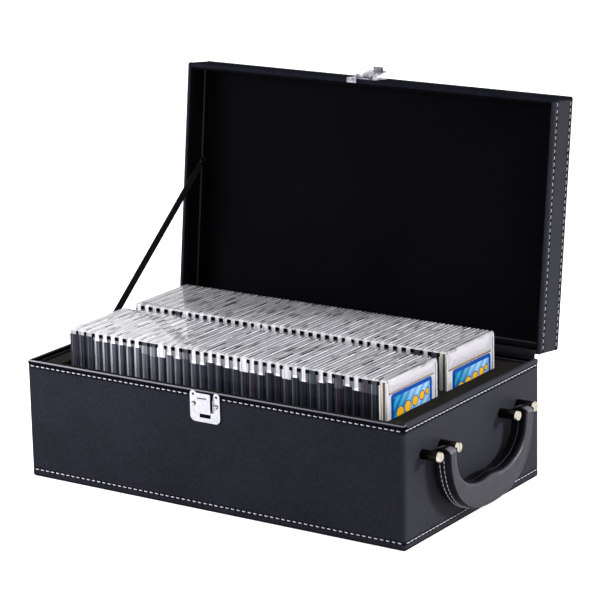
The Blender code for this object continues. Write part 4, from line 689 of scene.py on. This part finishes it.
# pressed_nickel: the same plating on the plate, with a dark line of painted shade under the rolled top of its tongue
pressed = substance("pressed_nickel", "#E4E4E9", 0.12, Metallic=1.0)
where = add(pressed, "TexCoord").outputs["Object"]
parts = add(pressed, "SeparateXYZ", {"Vector": where})
lean = add(pressed, "Math", (parts.outputs["X"], -0.06, parts.outputs["Z"]), operation="MULTIPLY_ADD")
off = add(pressed, "Math", (lean, 0.1045), operation="SUBTRACT")
near = add(pressed, "Math", (off,), operation="ABSOLUTE")
curl_shade = add(pressed, "MapRange", {"Value": near, "From Min": 0.0003, "From Max": 0.0009, "To Min": 1.0, "To Max": 0.0})
aside = add(pressed, "Math", (parts.outputs["X"], 0.0032), operation="ADD")
aside = add(pressed, "Math", (aside,), operation="ABSOLUTE")
span = add(pressed, "MapRange", {"Value": aside, "From Min": 0.0047, "From Max": 0.0056, "To Min": 1.0, "To Max": 0.0})
dark = add(pressed, "Math", (curl_shade, span), operation="MULTIPLY")
waves = add(pressed, "TexNoise", {"Vector": where, "Scale": 1 / 0.004, "Detail": 6.0, "Roughness": 0.7})
plating = add(pressed, "Mix", {"Factor": waves, "A": "#7A7A84", "B": "#D2D2D8"})
tone = add(pressed, "Mix", {"Factor": dark, "A": plating, "B": "#3E3E48"})
bump = add(pressed, "Bump", {"Height": waves, "Strength": 0.3, "Distance": 0.001})
add(pressed, "", {"Base Color": tone, "Normal": bump})


def ease(width, *names):
    """Rounds a metal node's edges by a live bevel, which leaves its mesh alone."""
    for name in names:
        soft = cad[name].modifiers.new("Eased edges", "BEVEL")
        soft.width, soft.segments, soft.limit_method = width / 1000, 2, "ANGLE"
        soft.angle_limit = math.radians(40)


repaint(pressed, "latch_plate")
# tarnished_nickel: rubbed through in spots to the warm metal below
tarnished = substance("tarnished_nickel", "#A8A098", 0.2, Metallic=1.0)
grained(tarnished, 0.0012, "#3C3128", "#C9C3BC", spread=(0.4, 0.6), Detail=3.0)
repaint(tarnished, "latch_rivet_left", "latch_rivet_right")
ease(0.3, "latch_plate")


def pad(name, corners, radius, y_back, y_front, mat):
    """A flat piece on the front: a rounded rectangle in XZ, rounded over from y_back to y_front and closed there."""
    x0, x1, z0, z1 = corners
    half_w, half_h = (x1 - x0) / 2, (z1 - z0) / 2
    steps = [(0, 0), (0, 0.6), (0.12, 0.9), (0.35, 1), (min(half_w, half_h) - 0.25, 1)]
    across, up, share = np.moveaxis(carried(steps, half_w, half_h, radius, 1.0), -1, 0)
    points = np.stack([across + (x0 + x1) / 2, y_back + (y_front - y_back) * share, up + (z0 + z1) / 2], -1)
    made = surface(name, points, quads(*points.shape[:2]), [mat], sharp=40)
    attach(made, "base")


# shadow_black: painted shade, black pads in the slot, behind the ears' holes and behind the tongue, where no light
# reaches
shadow_black = substance("shadow_black", "#030304", 0.9, Specular_IOR_Level=0.02)
grained(shadow_black, 0.001, "#020203", "#060608")
# each from just inside the wall's face to just outside it
for name, corners, radius in (
    ("slot_shadow", (-11.0, 4.4, 84.4, 91.4), 0.8),
    ("ear_shadow_left", (-17.0, -12.6, 104.2, 109.2), 1.2),
    ("ear_shadow_right", (8.6, 13.0, 103.6, 108.6), 1.2),
    ("tongue_shadow", (-11.5, 9.4, 92.5, 104.2), 0.8),
):
    pad(name, corners, radius, -114.9, -115.2, shadow_black)
# the flange beside the tongue, bent back into the recess
pad("tongue_flange", (5.5, 7.6, 92.6, 103.4), 0.5, -115.0, -116.8, pressed)

# ---------------------------------------------------------------- Handle posts and screws
# Turned brass posts with a dark bronze finish, each held by a nickel slotted screw right through
# the wall, with a nut inside. A steel pin crosses each pair and carries the handle.
# dark_bronze: dark, with streaks round the barrel from turning
bronze = substance("dark_bronze", "#2A2420", 0.22, Metallic=1.0)
where, _ = grained(bronze, 0.004, "#120F0D", "#3B322A", Detail=4.0)
turned = add(bronze, "TexWave", {"Vector": where, "Scale": 1 / 0.0016, "Distortion": 1.0}, bands_direction="X")
add(bronze, "", {"Normal": add(bronze, "Bump", {"Height": turned.outputs["Fac"], "Strength": 0.1, "Distance": 0.0002})})
# brushed_steel: plain, with a fine brushed grain along X
steel = substance("brushed_steel", "#A7A8AC", 0.32, Metallic=1.0)
where = add(steel, "TexCoord").outputs["Object"]
brushed = add(steel, "TexNoise", {"Vector": where, "Scale": 1 / 0.001, "Detail": 2.0})
bump = add(steel, "Bump", {"Height": brushed, "Strength": 0.1, "Distance": 0.0002})
add(steel, "", {"Normal": bump})
# warm_nickel: the screws' heads, plated but yellowed
warm_nickel = substance("warm_nickel", "#E6DFD2", 0.2, Metallic=1.0)
grained(warm_nickel, 0.003, "#CFC4B0", "#F4EFE6", Detail=4.0)
for i in (1, 2, 3, 4):
    repaint(bronze, f"handle_post_{i}")
    repaint(warm_nickel, f"handle_screw_{i}")
    repaint(steel, f"handle_nut_{i}")
    ease(0.4, f"handle_post_{i}", f"handle_screw_{i}")
repaint(steel, "handle_pin_front", "handle_pin_back", "handle_core")

# ---------------------------------------------------------------- Handle
# Padded leatherette moulded round the steel strap: a U whose outer side is a strip sewn down by two rows of
# stitches and turned over both faces' edges, with a finger swell and the closing seam along its inner side.
handle_at = np.array([211.3, -0.7, 76.0])
leg, half_end, top_over = 66.3, 6.2, 4.6
# half span, depth and power of the outer and the inner side
outer_u, inner_u = (leg + half_end, 68.5, 2.4), (leg - half_end, 43.5, 2.8)


def u_line(half_span, depth, power, shares, swell=0.0):
    """Points of a U at shares of its length: y = -h sgn(c) |c|^(2/p) and z = top - d s^(2/p), for c = cos t and
    s = sin t, plus the finger swell of (1 + cos(2 pi y / 44)) / 2 where |y| < 22."""
    t = np.linspace(0, np.pi, 1441)
    c, s = np.cos(t), np.sin(t)
    y = -half_span * np.sign(c) * np.abs(c) ** (2 / power)
    z = top_over - depth * np.abs(s) ** (2 / power)
    z = z + np.where(np.abs(y) < 22, swell * (1 + np.cos(2 * np.pi * y / 44)) / 2, 0)
    run = np.r_[0, np.cumsum(np.hypot(np.diff(y), np.diff(z)))]
    return np.c_[np.interp(shares * run[-1], run, y), np.interp(shares * run[-1], run, z)]


# the ends close over as a quarter circle does: depth 5.5 (cos 20 - cos a) and thickness sin a, for a from 20 to 90
a = np.radians(np.linspace(20, 90, 10))
close = 5.5 * (math.cos(math.radians(20)) - np.cos(a)) / (2 * (outer_u[1] + leg))
shares = np.r_[close, np.linspace(close[-1], 1 - close[-1], 222)[1:-1], 1 - close[::-1]]
thick = np.r_[np.sin(a), np.ones(220), np.sin(a)[::-1]][:, None, None]
outer, inner = u_line(*outer_u, shares), u_line(*inner_u, shares, 2.3)
# half a section: which side each point belongs to, how far it stands out from it, and its distance from the middle
half_ring = np.array([
    (1, 0.0, 0.0), (1, 0.0, 1.3), (1, -0.18, 2.1), (1, 0.0, 3.0), (1, -0.05, 4.6), (1, -0.25, 6.2), (1, -0.8, 7.6),
    (1, -1.5, 8.45), (1, -2.3, 8.8), (1, -2.75, 8.85), (1, -3.0, 8.55), (1, -4.2, 8.6), (0, 0, 8.75), (-1, 3.8, 8.7),
    (-1, 2.0, 8.5), (-1, 0.9, 7.8), (-1, 0.25, 6.4), (-1, 0.0, 4.2), (-1, 0.0, 1.5), (-1, 0.35, 0.75), (-1, -0.35, 0.0),
])  # fmt: skip
ring = np.vstack([half_ring, (half_ring * (1, 1, -1))[-2:0:-1]])
middle, reach = (outer + inner)[:, None, :] / 2, (outer - inner)[:, None, :] / 2
size = np.linalg.norm(reach, axis=2, keepdims=True)
share = (ring[None, :, :1] * size + ring[None, :, 1:2]) / size * (0.86 + 0.14 * thick)
flat = middle + reach * share
creep = 0.10 * np.sin(np.linspace(0, 60, len(shares)))[:, None] * (ring[:, 0] == -1)[None]
grid = np.concatenate([ring[None, :, 2:] * thick + creep[..., None], flat], -1) + handle_at
# padded_leatherette: thinner, tighter and glossier than the wrap's, with fine wrinkles across the bends
padded_hide = substance("padded_leatherette", "#2A2932", 0.34, Specular_IOR_Level=0.24)
where = add(padded_hide, "TexCoord").outputs["Object"]
wrinkle = add(padded_hide, "TexNoise", {"Vector": where, "Scale": 1 / 0.006, "Detail": 6.0, "Distortion": 0.8})
tones = ("#24242C", "#3A3943", "#9A9AA2")
hide_with_painted_light(padded_hide, 0.0009, wrinkle, wrinkle, tones, -0.8, (0.04, 0.26), (0.3, 0.00012))


def capped(rows, columns):
    """The cells of a tube's rows, and a face over each end."""
    ends = [list(range(columns)), list(range((rows - 1) * columns, rows * columns))]
    return [*quads(rows, columns).tolist(), *ends]


skin = surface("handle_leather", grid, capped(*grid.shape[:2]), [padded_hide])
# painted light at each point of half a section: painted shade on the sides and painted highlights along the edges and
# the inner seam; the highlights are weaker along the front leg, and the ends are painted dark with highlights on their
# rims
half_light_and_shade = [-.7, -.7, -.8, -.7, -.7, -.8, -.85, -.6, .12, .25, -.4, 0, 0, 0, .14, .05, -.7, -.85, -.9, -.9, .4]
light_and_shade = np.repeat(np.r_[half_light_and_shade, half_light_and_shade[-2:0:-1]][None], len(shares), 0)
light_and_shade *= np.where((light_and_shade > 0) & (shares[:, None] < 0.55), 0.15, 1)
at_end = np.minimum(shares, 1 - shares) < close[-1] * 0.98
light_and_shade[at_end] = np.where(np.r_[half_ring, half_ring[-2:0:-1]][None, :, 2] > 8.2, 0.3, -0.85)
mark(skin, "painted_light", light_and_shade)
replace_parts(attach(skin, "handle"), "handle_wrap")
sewn = np.arange(0.03, 0.97, 0.0205)
here, ahead = u_line(*outer_u, sewn), u_line(*outer_u, sewn + 0.002)
along = np.c_[np.zeros(len(sewn)), (ahead - here) / np.linalg.norm(ahead - here, axis=1)[:, None]]
out = np.c_[np.zeros(len(sewn)), along[:, 2], -along[:, 1]]
spots = np.c_[np.zeros(len(sewn)), here] + handle_at - out * 0.15
spots = np.vstack([spots - (2.1, 0, 0), spots + (2.1, 0, 0)])
stitches("handle_stitches", spots, np.tile(along, (2, 1)), np.tile(out, (2, 1)), "handle", length=4.2, thick=0.42)

# ---------------------------------------------------------------- Hinges
# Two barrel hinges of nickel-plated steel on the back, one leaf riveted through the base's wall and one through
# the lid's, with a steel pin in each.
repaint(nickel, "hinge_left_base_leaf", "hinge_right_base_leaf", "hinge_left_lid_leaf", "hinge_right_lid_leaf")
repaint(steel, "hinge_left_pin", "hinge_right_pin")


# ---------------------------------------------------------------- Lid wrap and its stitching
# The same leatherette over the lid's boards, rolled round the rim and sewn along both edges.
# It is drawn on the closed case and turned open about the hinges' pins.
pin_y, pin_z, open_angle = 117.4, 110.55, math.radians(-96.8)
cos_open, sin_open = math.cos(open_angle), math.sin(open_angle)
turn_open = np.array([[1, 0, 0], [0, cos_open, sin_open], [0, -sin_open, cos_open]])


def open_lid(points):
    """Closed to open about the pins: y' = pin y + dy cos a - dz sin a and z' = pin z + dy sin a + dz cos a."""
    p = np.array(points, float)
    dy, dz = p[..., 1] - pin_y, p[..., 2] - pin_z
    p[..., 1] = pin_y + dy * cos_open - dz * sin_open
    p[..., 2] = pin_z + dy * sin_open + dz * cos_open
    return p


# columns: inset from the wall's face, height on the closed case, and painted light, highlight above 0 and shade below
lid_profile = np.array([
    (4.2, 123, -1), (4.2, 114, -1), (4.1, 112.2, -.8), (3.6, 111.3, -.2), (2.4, 110.95, 0), (1.0, 111.05, .02),
    (0.3, 111.4, .06), (-0.15, 112.1, .05), (-0.3, 113.2, 0), (-0.2, 114.4, 0), (0.1, 115.2, -.25), (0.35, 115.9, -.5),
    (0.1, 116.7, -.25), (0.0, 118.5, 0), (0.0, 126, 0), (0.0, 136, 0), (0.0, 138.4, 0), (0.1, 139.9, -.25),
    (0.35, 140.7, -.5), (0.1, 141.5, -.25), (-0.2, 142.5, 0), (-0.2, 143.7, .05), (0.1, 144.7, .1), (0.7, 145.4, .1),
    (1.8, 145.7, 0), (5, 145.8, 0), (30, 145.8, 0), (70, 145.8, 0), (114, 145.8, 0), (114, 145.0, -1),
    (1.2, 144.8, -1), (0.8, 144, -1), (0.8, 112.2, -1), (3.6, 112.2, -1), (3.6, 123, -1),
])  # fmt: skip
lid_rows = (115.9, 140.7)
grid = open_lid(puckered(lid_profile, lid_rows))


def cut_after(rows, columns, row):
    """The cells of rows that close on themselves, left out after one row, with a face over the ring at each side."""
    cells = quads(rows, columns, wrap_rows=True).reshape(rows, columns, 4)
    caps = [list(range(k * columns, (k + 1) * columns)) for k in (row, row + 1)]
    return [*np.delete(cells, row, 0).reshape(-1, 4).tolist(), *caps]


lid_wrap = surface("lid_wrap_leather", grid, cut_after(*grid.shape[:2], 28), [leatherette])
# the front's face is painted a little darker between its two sewn edges, as painted shade
on_front = (np.abs(loop(0, half_long, half_deep, wrap_radius)[:, 1] + half_deep) < 2.5)[None]
light_and_shade = np.where(on_front & (np.abs(lid_profile[:, 1:2] - 128) < 17.3), -0.2, lid_profile[:, 2:3])
mark(lid_wrap, "painted_light", paint_handle_side_light(light_and_shade, grid, 0.05))
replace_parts(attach(lid_wrap, "lid"), "lid_wrap")
for name, height in zip(("lid_rim_stitches", "lid_top_stitches"), lid_rows):
    spots, along, out = sewn_loop(height, (-1, -17, 13))
    # on the front the thread is pulled down into the hide
    spots = spots - 0.65 * out * (out[:, 1:2] < -0.5)
    stitches(name, open_lid(spots), along @ turn_open, out @ turn_open, "lid", tilt=0.12)

# ---------------------------------------------------------------- Lid lining
# A shallow tray of black flocked cloth on card, pressed into the lid: a cove round the sides
# and a flat panel on the ceiling.
# black_flock: short upright pile, which gives back almost no light
flock = substance("black_flock", "#060608", 1.0, Specular_IOR_Level=0.01, Sheen_Weight=0.01, Sheen_Roughness=0.6)
where = add(flock, "TexCoord").outputs["Object"]
pile = add(flock, "TexNoise", {"Vector": where, "Scale": 1 / 0.0015, "Detail": 6.0, "Roughness": 0.7})
brushing = add(flock, "TexNoise", {"Vector": where, "Scale": 1 / 0.12, "Detail": 3.0})
share = add(flock, "Math", (pile, brushing), operation="MULTIPLY")
tone = add(flock, "Mix", {"Factor": share, "A": "#030304", "B": "#101015"})
bump = add(flock, "Bump", {"Height": pile, "Strength": 0.5, "Distance": 0.0003})
add(flock, "", {"Base Color": tone, "Normal": bump})
# the piping's flock: the same pile pressed flat over the card's piping, so that it shines a little, and painted paler
# as a highlight along the cove
flock_piping_highlight = substance("flock_piping_highlight", "#2C2C32", 0.7, Specular_IOR_Level=0.2)
grained(flock_piping_highlight, 0.003, "#1E1E23", "#3C3C44", Detail=4.0)
lining_profile = [
    (4.5, 113.2), (4.7, 112.8), (5.2, 112.8), (5.5, 113.3), (5.5, 125), (5.5, 131.4), (5.8, 132.0), (6.2, 132.5),
    (6.2, 133.1), (5.8, 133.6), (5.5, 134.2), (5.5, 138.6), (5.8, 139.9), (6.6, 140.8), (8.0, 141.1), (9.2, 141.4),
    (9.8, 141.5), (10.4, 141.2), (12, 141.05), (40, 141.05), (80, 141.05), (109, 141.05), (109, 141.9), (4.5, 141.9),
]  # fmt: skip
grid = open_lid(carried(lining_profile, half_long, half_deep, 7.0, 8.0))
row_n, column_n = grid.shape[:2]
piping_highlight = np.repeat(np.isin(np.delete(np.arange(row_n), 21), (5, 6, 7)), column_n)
lining = surface("lid_lining_flock", grid, cut_after(row_n, column_n, 21), [flock, flock_piping_highlight], [*piping_highlight, 0, 0])
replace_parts(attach(lining, "lid"), "lid_lining")

# ---------------------------------------------------------------- Hinge strip
# A strip of the black lining cloth glued along the back rim and the lid's rim, so that no light shows between
# them. It is drawn bowing inwards a little, as it does while the lid is open.
half_thick, bow, ripple = 0.11, 2.4, 0.15
low_edge, high_edge = np.array([0, 112.0, 110.5]), open_lid([(0, 111.6, 110.75)])[0]
run = high_edge - low_edge
aside = np.cross([1.0, 0, 0], run / np.linalg.norm(run))
t = np.linspace(0, 1, 17)[:, None]
mid = low_edge + t * run + 4 * t * (1 - t) * bow * aside
normal = np.gradient(mid, axis=0)
normal = np.cross([1.0, 0, 0], normal / np.linalg.norm(normal, axis=1)[:, None])
path = np.vstack([mid + half_thick * normal, (mid - half_thick * normal)[::-1]])
along_x = np.linspace(-198, 198, 100)
grid = path[None] + along_x[:, None, None] * np.array([1.0, 0, 0])
grid[..., 1] += ripple * np.sin(along_x * 0.09)[:, None] * np.sin(np.pi * np.r_[t[:, 0], t[::-1, 0]])
strip_cloth = surface("hinge_strip_cloth", grid, capped(100, 34), [felt])
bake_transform(strip_cloth)

# ---------------------------------------------------------------- Hasp
# A plate of nickel-plated steel, riveted to the lid's front, with a tab over the rim. The lever turns on a steel
# pin in its knuckles, and lies thrown back while the case is open.
# worn_nickel: the same plating, greyer from fingers, with dark smears
worn_nickel = substance("worn_nickel", "#80808A", 0.2, Metallic=1.0)
grained(worn_nickel, 0.006, "#5E5E68", "#D8D6E0", (0.4, 0.001), (0.35, 0.65), Detail=3.0, Distortion=0.4)
repaint(worn_nickel, "hasp_lever", "hasp_plate")
repaint(nickel, "hasp_rivet_left", "hasp_rivet_right")
repaint(steel, "hasp_pin")
ease(0.15, "hasp_plate", "hasp_lever")

# ---------------------------------------------------------------- Stay strap
# Flat black webbing, woven in a close herringbone, tucked behind the collar at one end
# and held to the lid's side by a dark stud at the other.
# black_webbing: UV is millimetres across and along; ribs of 0.9 mm slant to the middle from both edges
webbing = substance("black_webbing", "#17171A", 0.8, Specular_IOR_Level=0.2)
spot = add(webbing, "UVMap").outputs["UV"]
parts = add(webbing, "SeparateXYZ", {"Vector": spot})
fold = add(webbing, "Math", (parts.outputs["X"],), operation="ABSOLUTE")
ribs = add(webbing, "CombineXYZ", {"X": fold, "Y": parts.outputs["Y"]})
weave = add(webbing, "TexWave", {"Vector": ribs, "Scale": 0.35, "Distortion": 0.3}, bands_direction="DIAGONAL")
weave = weave.outputs["Fac"]
tone = add(webbing, "Mix", {"Factor": weave, "A": "#09090B", "B": "#222226"})
bump = add(webbing, "Bump", {"Height": weave, "Strength": 0.6, "Distance": 0.0002})
add(webbing, "", {"Base Color": tone, "Normal": bump})
strap_x, tucked, past_stud = -193.8, 14, 6
tack = open_lid([(strap_x, -18.0, 131.6)])[0]
foot = np.array([strap_x, -9.0, 110.0])
run = (tack - foot) * (0, 1, 1)
run /= np.linalg.norm(run)
foot = foot - run * tucked / run[2]
head = tack + run * past_stud
cross = np.array([0, run[2], -run[1]])
section = np.array([(0.4, -3.8), (0.4, 3.8), (0.25, 4.2), (-0.25, 4.2)])
section = np.vstack([section, -section])
t = np.linspace(0, 1, 120)[:, None, None]
grid = foot + t * (head - foot) + section[None, :, :1] * np.array([1.0, 0, 0]) + section[None, :, 1:] * cross
strap = surface("stay_strap_webbing", grid, capped(120, 8), [webbing], sharp=50)
flat = grid.reshape(-1, 3) - foot
unwrap(strap, np.c_[flat @ cross, flat @ run])
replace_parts(strap, "stay_strap")
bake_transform(strap)
repaint(bronze, "strap_tack")
